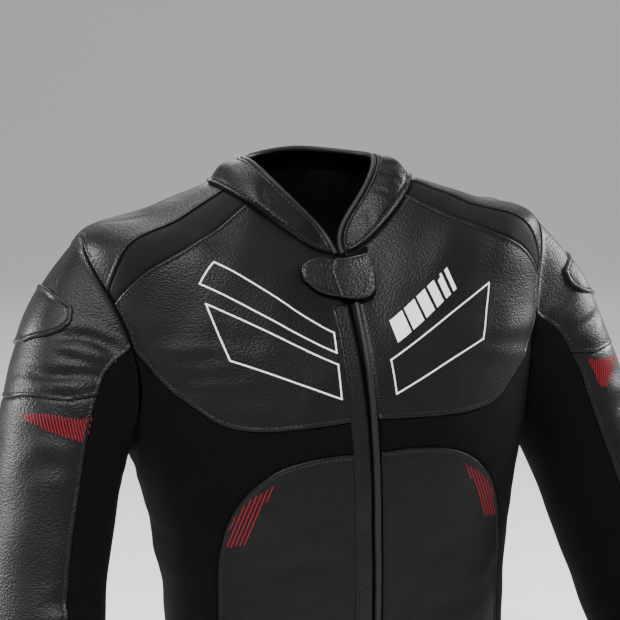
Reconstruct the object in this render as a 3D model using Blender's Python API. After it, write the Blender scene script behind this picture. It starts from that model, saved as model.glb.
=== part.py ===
"""Leather motorcycle jacket in its worn, hollow shape, cut and assembled from named pieces.

Metres, +Z up. The front faces -Y and the wearer's left is +X. The origin is in the middle of the
neck, level with the points where the collar seam crosses the shoulders, because the jacket hangs
from the wearer's shoulders. Sizes in the tables are millimetres.

Every panel lies on one of three surfaces: the body, a sleeve or the collar. Two panels that meet
share the points of their seam, and each stops half a seam gap short of it.
"""

import math

import bpy
import numpy as np
from mathutils import geometry

MM = 0.001

# ---- cloth ---------------------------------------------------------------------------------
LEATHER = 2.4
STRETCH = 1.8
LINING = 1.4
SEAM_GAP = 0.3
CLOTH_SPACING = 26.0
INNER_SLEEVE_SPACING = 20.0
SEAM_SPACING = 13.0

# ---- front edge, zip and throat ------------------------------------------------------------
ZIP_HALF = 6.5
TAPE_SUNK = 1.8
TAPE_THICK = 1.4
WELT_RADIUS = 3.2
WELT_SIDE = 2.8
WELT_LIFT = 1.6
FACING_WIDTH = 14.0
STRIP_LIFT = 0.5
STRIP_THICK = 1.4
TAB_LIFT = 2.8
TAB_THICK = 2.4
SLIDER_SIZE = (9.0, 13.0, 3.4)
SLIDER_LEVEL = 585.0
PATCH_LIFT = 0.3
PATCH_THICK = 2.2
BINDING_RADIUS = 2.6

# level of each cross seam at the zip, and of the ends of the strips beside it
CHEST_SEAM = 407.0
BAND_SEAM = 375.0
NECK_SEAM = 668.0
STRIP_TOP = 548.0
TAPE_TOP = 662.0


class Curve:
    """A smooth curve through table rows: the first column is the position along it."""

    def __init__(self, rows, closed=None):
        table = np.array(rows, float)
        if closed:
            once_round = np.zeros(table.shape[1])
            once_round[0] = closed
            table = np.vstack([table[-2:] - once_round, table, table[:2] + once_round])
        self.at, self.values = table[:, 0], table[:, 1:]
        steps = np.diff(self.at)[:, None]
        slopes = np.diff(self.values, axis=0) / steps
        inner = (slopes[:-1] * steps[1:] + slopes[1:] * steps[:-1]) / (steps[:-1] + steps[1:])
        self.slopes = np.vstack([slopes[:1], inner, slopes[-1:]])

    def __call__(self, place):
        place = np.clip(np.asarray(place, float), self.at[0], self.at[-1])
        row = np.clip(np.searchsorted(self.at, place, side="right") - 1, 0, len(self.at) - 2)
        step = self.at[row + 1] - self.at[row]
        t = ((place - self.at[row]) / step)[..., None]
        step = step[..., None]
        return (
            (1 + 2 * t) * (1 - t) ** 2 * self.values[row]
            + t * (1 - t) ** 2 * step * self.slopes[row]
            + t**2 * (3 - 2 * t) * self.values[row + 1]
            + t**2 * (t - 1) * step * self.slopes[row + 1]
        )


def fold_height(folds, across, along):
    """How far the cloth stands out in the soft rolls of a table, in mm."""
    height = np.zeros(np.broadcast(across, along).shape)
    for middle, place, run, slope, half_width, crest in folds:
        share = np.clip(1 - ((across - middle) / run) ** 2, 0, 1)
        off = (along - place - slope * (across - middle)) / half_width
        height += crest * share**2 * np.exp(-(off**2))
    return height


def ring_point(columns, turn, place, stands_out=0.0):
    """A point of a body or collar section; turn 0 is in front and 90 is the wearer's left."""
    half_width, front, back, middle, z_side, z_front, z_back, square = np.moveaxis(
        columns(place), -1, 0
    )
    bearing = np.radians(turn)
    sine, cosine = np.sin(bearing), np.cos(bearing)
    depth = np.where(cosine > 0, front, back)
    reach = (np.abs(sine / half_width) ** square + np.abs(cosine / depth) ** square) ** (-1 / square)
    reach += stands_out
    z_middle = np.where(cosine > 0, z_front, z_back)
    z = z_side + (z_middle - z_side) * cosine**2
    return np.stack([reach * sine, middle - reach * cosine, z], axis=-1)


# ---- body of the jacket --------------------------------------------------------------------
# One row for each section. level: mm of cloth above the hem at the side; half_width, front and
# back: reach of the section from its middle; middle: its middle's y; z at the side, front, back;
# square: 2 is an ellipse, more is boxier.
TORSO_SECTIONS = (
    # level half_width front back middle z_side z_front z_back square
    (0, 178, 104, 110, -42, -606, -571, -616, 2.3),
    (80, 172, 102, 106, -44, -526, -506, -534, 2.3),
    (170, 168, 101, 102, -44, -436, -428, -438, 2.3),
    (270, 176, 109, 106, -40, -336, -338, -336, 2.35),
    (360, 196, 118, 114, -32, -246, -256, -241, 2.4),
    (430, 212, 118, 122, -22, -174, -192, -166, 2.45),
    (500, 227, 108, 120, -12, -102, -140, -102, 2.5),
    (550, 232, 98, 108, -4, -46, -110, -56, 2.45),
    (610, 165, 84, 90, -2, -22, -83, -23, 2.3),
    (668, 101, 74, 68, 0, 0, -66, 8, 2.1),
)
torso_columns = Curve(TORSO_SECTIONS)

# The largest folds, the same on both sides: below the front of the arm, at the waist and across
# the small of the back. turn and level: the fold's middle; run: how many degrees it goes to each
# side; slope: mm of level for each degree; half_width and crest: its size in mm.
TORSO_FOLDS = (
    # turn level run slope half_width crest
    (65, 464, 15, -0.2, 13, 2.4),
    (60, 438, 13, -0.9, 12, 1.8),
    (97, 262, 24, 0.35, 15, 2.2),
    (118, 212, 34, 0.25, 17, 3.0),
    (140, 262, 36, -0.15, 16, 2.4),
    (152, 158, 40, 0.1, 18, 2.6),
)


def torso_point(turn, level):
    from_front = np.abs(np.mod(np.asarray(turn) + 180, 360) - 180)
    return ring_point(torso_columns, turn, level, fold_height(TORSO_FOLDS, from_front, level))


# ---- collar --------------------------------------------------------------------------------
COLLAR_SECTIONS = (
    # rise half_width front back middle z_side z_front z_back square
    (0, 101, 74, 68, 0, 0, -66, 8, 2.1),
    (20, 88, 65, 60, 2, 16, -56, 22, 2.15),
    (42, 67, 53, 50, 2, 22, -40, 28, 2.2),
)
collar_columns = Curve(COLLAR_SECTIONS)


def collar_point(turn, rise):
    return ring_point(collar_columns, turn, rise)


# ---- armhole and sleeve --------------------------------------------------------------------
# clock: degrees round the armhole, 0 at the shoulder point, 90 in front, 180 under the arm.
ARMHOLE = (
    # clock turn level
    (0, 90, 555),
    (45, 80, 520),
    (90, 74, 466),
    (135, 77, 408),
    (180, 92, 374),
    (225, 107, 408),
    (270, 112, 468),
    (315, 103, 522),
)
armhole_columns = Curve(ARMHOLE, closed=360)

# reach: mm along the sleeve from the armhole; the middle of the section; out and fore: half its
# width from inside to outside and from back to front; tilt: how far its outer side is turned up;
# lean: how far its front is turned up, as the arm reaches forward.
SLEEVE_SECTIONS = (
    # reach x y z out fore tilt lean
    (0, 215, -12, -138, 94, 64, 80, 0),
    (60, 240, -16, -174, 80, 66, 60, 4),
    (130, 261, -26, -228, 65, 66, 36, 9),
    (210, 279, -44, -296, 58, 64, 18, 16),
    (300, 296, -72, -378, 56, 60, 14, 23),
    (370, 303, -106, -442, 53, 56, 9, 32),
    (450, 305, -154, -506, 47, 50, 3, 39),
    (530, 302, -206, -566, 41, 43, -3, 42),
    (590, 298, -246, -610, 38, 40, -6, 42),
)
sleeve_columns = Curve(SLEEVE_SECTIONS)
CAP_FADE = 130.0

# The largest folds: below the shoulder patch, in the bend of the elbow and behind the upper arm.
SLEEVE_FOLDS = (
    # clock reach run slope half_width crest
    (60, 58, 42, -0.9, 12, 2.0),
    (60, 90, 34, -0.7, 11, 1.6),
    (122, 318, 66, 0.25, 15, 2.4),
    (116, 362, 74, -0.05, 15, 3.2),
    (124, 408, 68, -0.3, 15, 2.6),
    (258, 152, 52, 0.3, 16, 2.2),
    (250, 205, 48, 0.1, 15, 1.8),
    (80, 480, 60, -0.2, 16, 1.6),
)


def sleeve_tube(clock, reach):
    x, y, z, out, fore, tilt, lean = np.moveaxis(sleeve_columns(reach), -1, 0)
    tilt, lean, angle = np.radians(tilt), np.radians(lean), np.radians(clock)
    none = np.zeros_like(tilt)
    outward = np.stack([np.cos(tilt), none, np.sin(tilt)], axis=-1)
    forward = np.stack([none, -np.cos(lean), np.sin(lean)], axis=-1)
    forward -= outward * np.sum(outward * forward, axis=-1, keepdims=True)
    stands_out = fold_height(SLEEVE_FOLDS, np.mod(clock, 360), reach)
    out, fore = out + stands_out, fore + stands_out
    return (
        np.stack([x, y, z], axis=-1)
        + (out * np.cos(angle))[..., None] * outward
        + (fore * np.sin(angle))[..., None] * forward
    )


def armhole_place(clock):
    return armhole_columns(np.mod(clock, 360))


def armhole_point(clock):
    place = armhole_place(clock)
    return torso_point(place[..., 0], place[..., 1])


def sleeve_point(clock, reach):
    """The outer face of the wearer's left sleeve."""
    clock, reach = np.broadcast_arrays(np.asarray(clock, float), np.asarray(reach, float))
    share = np.clip(reach / CAP_FADE, 0, 1)
    fade = (1 - share) ** 2 * (1 + 2 * share)
    shift = armhole_point(clock) - sleeve_tube(clock, np.zeros_like(reach))
    return sleeve_tube(clock, reach) + shift * fade[..., None]


# ---- surfaces ------------------------------------------------------------------------------
def unit(vectors):
    return vectors / np.linalg.norm(vectors, axis=-1, keepdims=True)


class Surface:
    """Points of a surface by (across in degrees, along in mm), and the same laid flat."""

    def __init__(self, point, girth):
        self.point, self.girth = point, girth

    def normal(self, places):
        across, along = places[:, 0], places[:, 1]
        side = self.point(across + 0.5, along) - self.point(across - 0.5, along)
        up = self.point(across, along + 1.0) - self.point(across, along - 1.0)
        return unit(np.cross(side, up))

    def flat(self, places, middle):
        """Places laid flat, with widths true to the girth there, about a turn in the middle."""
        girth = self.girth(places[:, 1])
        return np.stack([(places[:, 0] - middle) * girth / 360, places[:, 1]], axis=1)


def torso_girth(level):
    return 2 * math.pi * torso_columns(level)[:, [0, 0, 1, 2]].mean(axis=1)


def collar_girth(rise):
    """The collar is laid flat as a straight band, because it is low and goes all the way round."""
    return np.full(len(rise), 2 * math.pi * np.mean(COLLAR_SECTIONS[1][1:4]))


def sleeve_girth(reach):
    return 2 * math.pi * sleeve_columns(reach)[:, [3, 4]].mean(axis=1)


TORSO = Surface(torso_point, torso_girth)
COLLAR = Surface(collar_point, collar_girth)
SLEEVE = Surface(sleeve_point, sleeve_girth)


def mirrored(vectors):
    return vectors * np.array([-1.0, 1.0, 1.0])


def neck_wall(turn):
    """Both sides of the neck seam have their wall in this direction, so their edges are parallel."""
    below = TORSO.normal(np.stack([turn, np.full_like(turn, NECK_SEAM)], axis=1))
    above = COLLAR.normal(np.stack([turn, np.zeros_like(turn)], axis=1))
    return unit(below + above)


def mitre_share(clock):
    """1 over the shoulder, where the cloth turns a corner outward, and 0 under the arm."""
    return np.clip((np.cos(np.radians(clock)) + 0.1) / 0.4, 0, 1)[:, None]


def armhole_wall(clock, own):
    """The wall's direction at the armhole on one side, own being that side's surface.

    Over the shoulder both sides share the corner's mitre. Under the arm they fold against each
    other, and each keeps its own.
    """
    place = armhole_place(clock)
    body = TORSO.normal(place)
    arm = SLEEVE.normal(np.stack([clock, np.zeros_like(clock)], axis=1))
    share = mitre_share(clock)
    return unit(body + share * arm) if own is TORSO else unit(arm + share * body)


# ---- seams ---------------------------------------------------------------------------------
# A seam is rows of (across, along, clock): clock is nan except on the armhole.
def seam(surface, rows):
    """A smooth seam through table rows, with a point about every SEAM_SPACING."""
    rows = np.array(rows, float)
    steps = np.linalg.norm(np.diff(surface.point(rows[:, 0], rows[:, 1]), axis=0), axis=1)
    run = np.concatenate([[0], np.cumsum(steps)])
    count = max(1, round(run[-1] / SEAM_SPACING))
    places = Curve(np.column_stack([run, rows]))(np.linspace(0, run[-1], count + 1))
    return np.column_stack([places, np.full(len(places), np.nan)])


def armhole_seam(start, end):
    """The armhole on the body from one clock to another, in steps that every panel shares."""
    count = round(abs(end - start) / ARMHOLE_STEP)
    clock = np.linspace(start, end, count + 1)
    return np.column_stack([armhole_place(clock), clock])


def cap_seam(start, end):
    """The armhole on the sleeve."""
    count = round(abs(end - start) / ARMHOLE_STEP)
    clock = np.linspace(start, end, count + 1)
    return np.column_stack([clock, np.zeros_like(clock), clock])


def neck_seam(start, end, along=NECK_SEAM):
    """The neck between two turns: every multiple of NECK_STEP, and the zip's two edges."""
    turns = np.arange(NECK_STEP, 360, NECK_STEP)
    turns = np.concatenate([[zip_turn(NECK_SEAM)], turns, [360 - zip_turn(NECK_SEAM)]])
    turns = turns[(turns >= start - 0.01) & (turns <= end + 0.01)]
    return np.column_stack([turns, np.full_like(turns, along), np.full_like(turns, np.nan)])


def level_line(surface, start, end, along):
    """A hem, a cuff or the collar's top."""
    turns = np.linspace(start, end, 9)
    return seam(surface, np.column_stack([turns, np.full_like(turns, along)]))


def zip_turn(level, side=ZIP_HALF):
    """The turn at which the front is so many mm to the side of its middle."""
    return np.degrees(np.arcsin(side / torso_columns(level)[..., 1]))


def zip_line(low, high, side=ZIP_HALF):
    levels = np.linspace(low, high, 12)
    return seam(TORSO, np.column_stack([zip_turn(levels, side), levels]))


ARMHOLE_STEP = 7.5
NECK_STEP = 7.5
# armhole clocks where the body's seams end, and the turns where they end at the neck
CHEST_CLOCK, INSERT_FRONT_CLOCK, INSERT_BACK_CLOCK = 90, 60, 52.5
YOKE_CLOCK, SIDE_CLOCK = -22.5, 210
INSERT_FRONT_TURN, INSERT_BACK_TURN, YOKE_TURN = 60, 75, 112.5
LOWER_HEM_TURN, SIDE_HEM_TURN = 68, 108


def on_armhole(clock):
    return tuple(armhole_place(clock))


# from the armhole or the zip outwards, each a row of (turn, level)
CHEST = seam(TORSO, (
    (zip_turn(CHEST_SEAM), CHEST_SEAM), (13, 405), (31, 400), (44, 397), (54, 401), (61, 416),
    (69, 441), on_armhole(CHEST_CLOCK),
))
BAND = seam(TORSO, (
    (zip_turn(BAND_SEAM), BAND_SEAM), (14, 375), (28, 371), (38, 363), (46, 349), (54, 325),
    (61, 285), (65, 220), (67, 120), (LOWER_HEM_TURN, 0),
))
INSERT_FRONT = seam(TORSO, (
    on_armhole(INSERT_FRONT_CLOCK), (70, 530), (63, 562), (61, 612), (INSERT_FRONT_TURN, NECK_SEAM),
))
INSERT_BACK = seam(TORSO, (
    on_armhole(INSERT_BACK_CLOCK), (75, 536), (73.5, 568), (73, 605), (INSERT_BACK_TURN, NECK_SEAM),
))
YOKE_BACK = seam(TORSO, (
    on_armhole(YOKE_CLOCK), (103, 575), (107, 620), (YOKE_TURN, NECK_SEAM),
))
SIDE = seam(TORSO, (
    (SIDE_HEM_TURN, 0), (107, 130), (106, 250), (104, 340), on_armhole(SIDE_CLOCK),
))

# ---- sleeve seams: rows of (clock, reach) --------------------------------------------------
SLEEVE_LENGTH = SLEEVE_SECTIONS[-1][0]
INNER_BACK_CLOCK = 240
CUFF_FRONT_CLOCK, CUFF_BACK_CLOCK = 100, 228
ELBOW_FRONT, ELBOW_BACK = (87, 72), (242, 90)
INNER_FRONT_TOP = seam(SLEEVE, ((CHEST_CLOCK, 0), (85, 22), (83, 44), ELBOW_FRONT))
INNER_FRONT_LOW = seam(SLEEVE, (
    ELBOW_FRONT, (89, 95), (92, 125), (94, 165), (95, 240), (96, 340), (98, 450),
    (CUFF_FRONT_CLOCK, SLEEVE_LENGTH),
))
INNER_BACK_TOP = seam(SLEEVE, ((INNER_BACK_CLOCK, 0), (241, 45), ELBOW_BACK))
INNER_BACK_LOW = seam(SLEEVE, (
    ELBOW_BACK, (242, 160), (238, 260), (234, 370), (230, 480), (CUFF_BACK_CLOCK, SLEEVE_LENGTH),
))
ELBOW = seam(SLEEVE, (
    (ELBOW_BACK[0] - 360, ELBOW_BACK[1]), (-90, 99), (-60, 111), (-25, 122), (10, 123), (38, 114),
    (55, 107), (68, 98), (79, 84), ELBOW_FRONT,
))
PATCH = seam(SLEEVE, (
    (41, 32), (46, 42), (43, 55), (35, 67), (12, 84), (-18, 87), (-38, 77), (-46, 60), (-43, 45),
    (-22, 41), (2, 45), (24, 40), (41, 32),
))[:-1]

# ---- collar and throat: rows of (turn, rise) or (turn, level) ------------------------------
COLLAR_TOP = COLLAR_SECTIONS[-1][0]
COLLAR_TOP_TURN = 36
COLLAR_CORNER = (
    (zip_turn(NECK_SEAM), 0), (5.5, 12), (8, 24), (14, 34), (24, 40), (COLLAR_TOP_TURN, COLLAR_TOP),
)
TAB_BODY = (
    (-7, 558), (2, 553), (10, 553), (14.5, 562), (17, 590), (18.5, 632), (8, 643), (-6, 641),
    (-7, 600),
)
TAB_END = (
    (-9.5, 640), (-17, 634), (-24, 614), (-28.5, 590), (-27, 570), (-19, 558), (-9.5, 557),
    (-8.5, 600),
)
UNDERLAY = ((3, 600), (18, 600), (25, 630), (24, 656), (12, 661), (4, 661))


def joined(*seams):
    """One closed outline from seams that each start where the last one ends."""
    return np.vstack([part[:-1] for part in seams])


def back_way(line):
    return line[::-1]


def other_side(line):
    """A body seam on the wearer's right, at turns past 180."""
    return np.column_stack([360 - line[:, 0], line[:, 1:]])


def shifted(line, turn):
    return line + np.array([turn, 0, 0])


# ---- panels --------------------------------------------------------------------------------
def inside(points, loop):
    """Which flat points are inside a closed flat loop."""
    result = np.zeros(len(points), bool)
    for start, end in zip(loop, np.roll(loop, -1, axis=0)):
        crosses = (start[1] > points[:, 1]) != (end[1] > points[:, 1])
        rise = end[1] - start[1]
        at = start[0] + (points[:, 1] - start[1]) * (end[0] - start[0]) / (rise if rise else 1.0)
        result ^= crosses & (points[:, 0] < at)
    return result


def distance_to(points, loop):
    """How far flat points are from a closed flat loop."""
    nearest = np.full(len(points), np.inf)
    for start, end in zip(loop, np.roll(loop, -1, axis=0)):
        edge = end - start
        share = np.clip((points - start) @ edge / (edge @ edge), 0, 1)[:, None]
        nearest = np.minimum(nearest, np.linalg.norm(points - start - share * edge, axis=1))
    return nearest


def lay_points(surface, loops, middle, spacing):
    """Places in staggered rows inside the first loop and clear of all of them."""
    flats = [surface.flat(loop[:, :2], middle) for loop in loops]
    low, high = loops[0][:, :2].min(axis=0), loops[0][:, :2].max(axis=0)
    places = []
    rows = np.arange(low[1] + spacing * 0.5, high[1], spacing * 0.87)
    for number, along in enumerate(rows):
        step = spacing * 360 / surface.girth(np.array([along]))[0]
        first = np.floor(low[0] / step) * step + (number % 2) * step / 2
        across = np.arange(first, high[0], step)
        places.append(np.column_stack([across, np.full_like(across, along)]))
    places = np.vstack(places)
    flat = surface.flat(places, middle)
    keep = inside(flat, flats[0])
    for loop in flats:
        keep &= distance_to(flat, loop) > spacing * 0.55
    return places[keep]


def triangulate(surface, loops, spacing=CLOTH_SPACING):
    """Places and triangles of a panel whose outline is the first loop, with any others kept."""
    middle = loops[0][:, 0].mean()
    laid = lay_points(surface, loops, middle, spacing)
    places = np.vstack([loop[:, :2] for loop in loops] + [laid])
    edges, first = [], 0
    for loop in loops:
        edges += [(first + i, first + (i + 1) % len(loop)) for i in range(len(loop))]
        first += len(loop)
    flat = surface.flat(places, middle)
    corners = [tuple(point) for point in flat]
    found = geometry.delaunay_2d_cdt(corners, edges, [], 0, 1e-6, True)
    if len(found[0]) != len(places):
        raise RuntimeError("a panel's outline crosses itself")
    order = [sources[0] for sources in found[3]]
    triangles = np.array([[order[corner] for corner in triangle] for triangle in found[2]])
    centres = flat[triangles].mean(axis=1)
    return places, triangles[inside(centres, flat[:len(loops[0])])].tolist()


def inward(points, normals):
    """The mitred way into a panel from each point of its outline, 1 long square to the edge."""
    ahead = unit(np.roll(points, -1, axis=0) - points)
    left = np.cross(normals, ahead)
    before = np.roll(left, 1, axis=0)
    return (left + before) / np.maximum(1 + np.sum(left * before, axis=1), 0.05)[:, None]


def wall_directions(surface, outline, normals):
    """The surface's normal, but the shared direction along the neck and the armhole."""
    walls = normals.copy()
    on_neck = outline[:, 1] == (0.0 if surface is COLLAR else NECK_SEAM)
    if surface is not SLEEVE and on_neck.any():
        walls[on_neck] = neck_wall(outline[on_neck, 0])
    on_armhole_seam = ~np.isnan(outline[:, 2])
    if on_armhole_seam.any():
        shared = armhole_wall(outline[on_armhole_seam, 2], surface)
        far_side = (outline[on_armhole_seam, 0] > 180) & (surface is TORSO)
        walls[on_armhole_seam] = np.where(far_side[:, None], mirrored(shared), shared)
    return walls


DIAGONAL = np.array([0.37, 0.61, 0.70])


def solid_mesh(name, outer, inner, triangles, border, material, mirror=False):
    """A closed wall: the outer and inner faces, and a rim along the border."""
    count = len(outer)
    points = np.vstack([outer, inner])
    if mirror:
        points = mirrored(points)
    faces = [tuple(t) for t in triangles]
    faces += [(c + count, b + count, a + count) for a, b, c in triangles]
    for start, end in zip(border, border[1:] + border[:1]):
        # the two rims of a seam are split along the same diagonal, so they stay parallel
        if outer[start] @ DIAGONAL < outer[end] @ DIAGONAL:
            faces += [(end, start, start + count), (end, start + count, end + count)]
        else:
            faces += [(end, start, end + count), (start, start + count, end + count)]
    if mirror:
        faces = [face[::-1] for face in faces]
    mesh = bpy.data.meshes.new(name)
    mesh.from_pydata((points * MM).tolist(), [], faces)
    mesh.materials.append(material)
    part = bpy.data.objects.new(name, mesh)
    bpy.data.collections[COLLECTION].objects.link(part)
    return part


def panel(name, surface, outline, wall, material, lift=0.0, mirror=False, loops=(),
          spacing=CLOTH_SPACING):
    """One cut piece of cloth on a surface. Returns what a piece that lies on it is made from."""
    places, triangles = triangulate(surface, [outline, *loops], spacing)
    normals = surface.normal(places)
    walls = normals.copy()
    border = len(outline)
    walls[:border] = wall_directions(surface, outline, normals[:border])
    points = surface.point(places[:, 0], places[:, 1])
    away = inward(points[:border], normals[:border])
    away -= normals[:border] * (1 - mitre_share(np.nan_to_num(outline[:, 2])))
    points[:border] += away * SEAM_GAP / 2
    outer = points + walls * lift
    inner = outer - walls * wall
    solid_mesh(name, outer, inner, triangles, list(range(border)), material, mirror)
    return places, triangles, points, normals


def overlay(name, base, loop_start, loop_count, surface, thick, material, mirror=False):
    """A piece cut to a loop of a base panel, from the base's own points, moved out."""
    places, triangles, points, normals = base
    flat = surface.flat(places, 0.0)
    centres = flat[np.array(triangles)].mean(axis=1)
    within = inside(centres, flat[loop_start:loop_start + loop_count])
    chosen = [triangle for triangle, keep in zip(triangles, within) if keep]
    used = sorted({corner for triangle in chosen for corner in triangle})
    number = {corner: index for index, corner in enumerate(used)}
    triangles = [[number[corner] for corner in triangle] for triangle in chosen]
    border = [number[corner] for corner in range(loop_start, loop_start + loop_count)]
    under = points[used] + normals[used] * PATCH_LIFT
    outer = under + normals[used] * thick
    solid_mesh(name, outer, under, triangles, border, material, mirror)


def tube(name, points, radius, material):
    """A round cord or rolled edge with closed ends."""
    curve = bpy.data.curves.new(name, "CURVE")
    curve.dimensions = "3D"
    curve.bevel_depth = radius * MM
    curve.bevel_resolution = 2
    curve.use_fill_caps = True
    spline = curve.splines.new("POLY")
    spline.points.add(len(points) - 1)
    for target, point in zip(spline.points, points * MM):
        target.co = (*point, 1.0)
    curve.materials.append(material)
    part = bpy.data.objects.new(name, curve)
    bpy.data.collections[COLLECTION].objects.link(part)


# ---- materials -----------------------------------------------------------------------------
COLLECTION = "leather_motorcycle_jacket"
MATERIALS = (
    # name red green blue roughness metallic
    ("black_leather", 0.020, 0.021, 0.024, 0.48, 0.0),
    ("grey_leather", 0.045, 0.047, 0.052, 0.55, 0.0),
    ("stretch_cloth", 0.008, 0.008, 0.009, 0.90, 0.0),
    ("binding_leather", 0.030, 0.031, 0.035, 0.40, 0.0),
    ("lining_cloth", 0.006, 0.006, 0.007, 0.92, 0.0),
    ("zip_tape", 0.007, 0.007, 0.008, 0.85, 0.0),
    ("zip_metal", 0.020, 0.020, 0.022, 0.35, 0.8),
)


def make_material(name, red, green, blue, roughness, metallic):
    material = bpy.data.materials.new(name)
    material.use_nodes = True
    shader = material.node_tree.nodes["Principled BSDF"]
    shader.inputs["Base Color"].default_value = (red, green, blue, 1.0)
    shader.inputs["Roughness"].default_value = roughness
    shader.inputs["Metallic"].default_value = metallic
    return material


# ---- pieces --------------------------------------------------------------------------------
def body_panels(leather, grey, stretch, side, mirror):
    """The panels of one half of the body but for the back, which has no seam in its middle."""
    front = joined(
        CHEST,
        armhole_seam(CHEST_CLOCK, INSERT_FRONT_CLOCK),
        INSERT_FRONT,
        back_way(neck_seam(zip_turn(NECK_SEAM), INSERT_FRONT_TURN)),
        back_way(zip_line(CHEST_SEAM, NECK_SEAM)),
    )
    panel("front_" + side, TORSO, front, LEATHER, leather, mirror=mirror)
    insert = joined(
        armhole_seam(INSERT_FRONT_CLOCK, INSERT_BACK_CLOCK),
        INSERT_BACK,
        back_way(neck_seam(INSERT_FRONT_TURN, INSERT_BACK_TURN)),
        back_way(INSERT_FRONT),
    )
    panel("shoulder_insert_" + side, TORSO, insert, LEATHER, grey, mirror=mirror)
    yoke = joined(
        armhole_seam(INSERT_BACK_CLOCK, YOKE_CLOCK),
        YOKE_BACK,
        back_way(neck_seam(INSERT_BACK_TURN, YOKE_TURN)),
        back_way(INSERT_BACK),
    )
    panel("yoke_" + side, TORSO, yoke, LEATHER, leather, mirror=mirror)
    side_piece = joined(
        level_line(TORSO, LOWER_HEM_TURN, SIDE_HEM_TURN, 0),
        SIDE,
        armhole_seam(SIDE_CLOCK, CHEST_CLOCK),
        back_way(CHEST),
        back_way(zip_line(BAND_SEAM, CHEST_SEAM)),
        BAND,
    )
    panel("stretch_" + side, TORSO, side_piece, STRETCH, stretch, mirror=mirror)
    lower = joined(
        level_line(TORSO, zip_turn(0.0), LOWER_HEM_TURN, 0),
        back_way(BAND),
        back_way(zip_line(0, BAND_SEAM)),
    )
    panel("lower_front_" + side, TORSO, lower, LEATHER, leather, mirror=mirror)


def back_panel(leather):
    half = (back_way(YOKE_BACK), armhole_seam(YOKE_CLOCK, SIDE_CLOCK - 360), back_way(SIDE))
    far_half = [back_way(other_side(line)) for line in reversed(half)]
    outline = joined(
        level_line(TORSO, SIDE_HEM_TURN, 360 - SIDE_HEM_TURN, 0),
        *far_half,
        back_way(neck_seam(YOKE_TURN, 360 - YOKE_TURN)),
        *half,
    )
    panel("back", TORSO, outline, LEATHER, leather)


def sleeve_panels(leather, grey, stretch, side, mirror):
    upper = joined(
        cap_seam(INNER_BACK_CLOCK - 360, CHEST_CLOCK),
        INNER_FRONT_TOP,
        back_way(ELBOW),
        back_way(shifted(INNER_BACK_TOP, -360)),
    )
    base = panel("sleeve_upper_" + side, SLEEVE, upper, LEATHER, leather, mirror=mirror, loops=[PATCH])
    overlay("shoulder_patch_" + side, base, len(upper), len(PATCH), SLEEVE, PATCH_THICK, grey, mirror)
    lower = joined(
        ELBOW,
        INNER_FRONT_LOW,
        level_line(SLEEVE, CUFF_FRONT_CLOCK, CUFF_BACK_CLOCK - 360, SLEEVE_LENGTH),
        back_way(shifted(INNER_BACK_LOW, -360)),
    )
    panel("sleeve_lower_" + side, SLEEVE, lower, LEATHER, leather, mirror=mirror)
    inner = joined(
        cap_seam(CHEST_CLOCK, INNER_BACK_CLOCK),
        INNER_BACK_TOP,
        INNER_BACK_LOW,
        level_line(SLEEVE, CUFF_BACK_CLOCK, CUFF_FRONT_CLOCK, SLEEVE_LENGTH),
        back_way(INNER_FRONT_LOW),
        back_way(INNER_FRONT_TOP),
    )
    # finer, so that it follows the tight hollow under the arm
    panel("sleeve_inner_" + side, SLEEVE, inner, STRETCH, stretch, mirror=mirror,
          spacing=INNER_SLEEVE_SPACING)


def collar_pieces(leather, binding, lining):
    corner = seam(COLLAR, COLLAR_CORNER)
    top = level_line(COLLAR, COLLAR_TOP_TURN, 360 - COLLAR_TOP_TURN, COLLAR_TOP)
    rim = np.vstack([corner, top[1:-1], back_way(other_side(corner))])
    outline = joined(neck_seam(0, 360, 0.0), back_way(rim))
    panel("collar", COLLAR, outline, LEATHER, leather)
    panel("collar_lining", COLLAR, outline, LINING, lining, lift=-LEATHER - SEAM_GAP)
    points = COLLAR.point(rim[:, 0], rim[:, 1])
    normals = COLLAR.normal(rim[:, :2])
    ahead = unit(np.gradient(points, axis=0))
    over = unit(np.cross(ahead, normals)) * -1.0
    middle = (LEATHER + SEAM_GAP + LINING) / 2
    path = points + over * (BINDING_RADIUS + SEAM_GAP) - normals * middle
    tube("collar_binding", path, BINDING_RADIUS, binding)


def strip_outline(left, right, low, high):
    """A band beside the front's middle between two distances in mm, towards the wearer's left."""
    levels = np.linspace(low, high, 12)
    start = seam(TORSO, np.column_stack([zip_turn(levels, right), levels]))
    finish = seam(TORSO, np.column_stack([zip_turn(levels, left), levels]))
    return np.vstack([start, back_way(finish)])


def zip_slider(metal):
    """The slider sits on the tape under the throat tab, where its pull is tucked away."""
    place = np.array([[0.0, SLIDER_LEVEL]])
    point, normal = TORSO.point(place[:, 0], place[:, 1])[0], TORSO.normal(place)[0]
    bottom = SEAM_GAP - TAPE_SUNK
    bpy.ops.mesh.primitive_cube_add(size=1)
    slider = bpy.context.object
    slider.name = "zip_slider"
    slider.scale = np.array(SLIDER_SIZE) * MM
    slider.rotation_euler.x = math.atan2(-normal[1], normal[2])
    slider.location = (point + normal * (bottom + SLIDER_SIZE[2] / 2)) * MM
    slider.data.materials.append(metal)
    for collection in slider.users_collection:
        collection.objects.unlink(slider)
    bpy.data.collections[COLLECTION].objects.link(slider)


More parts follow.
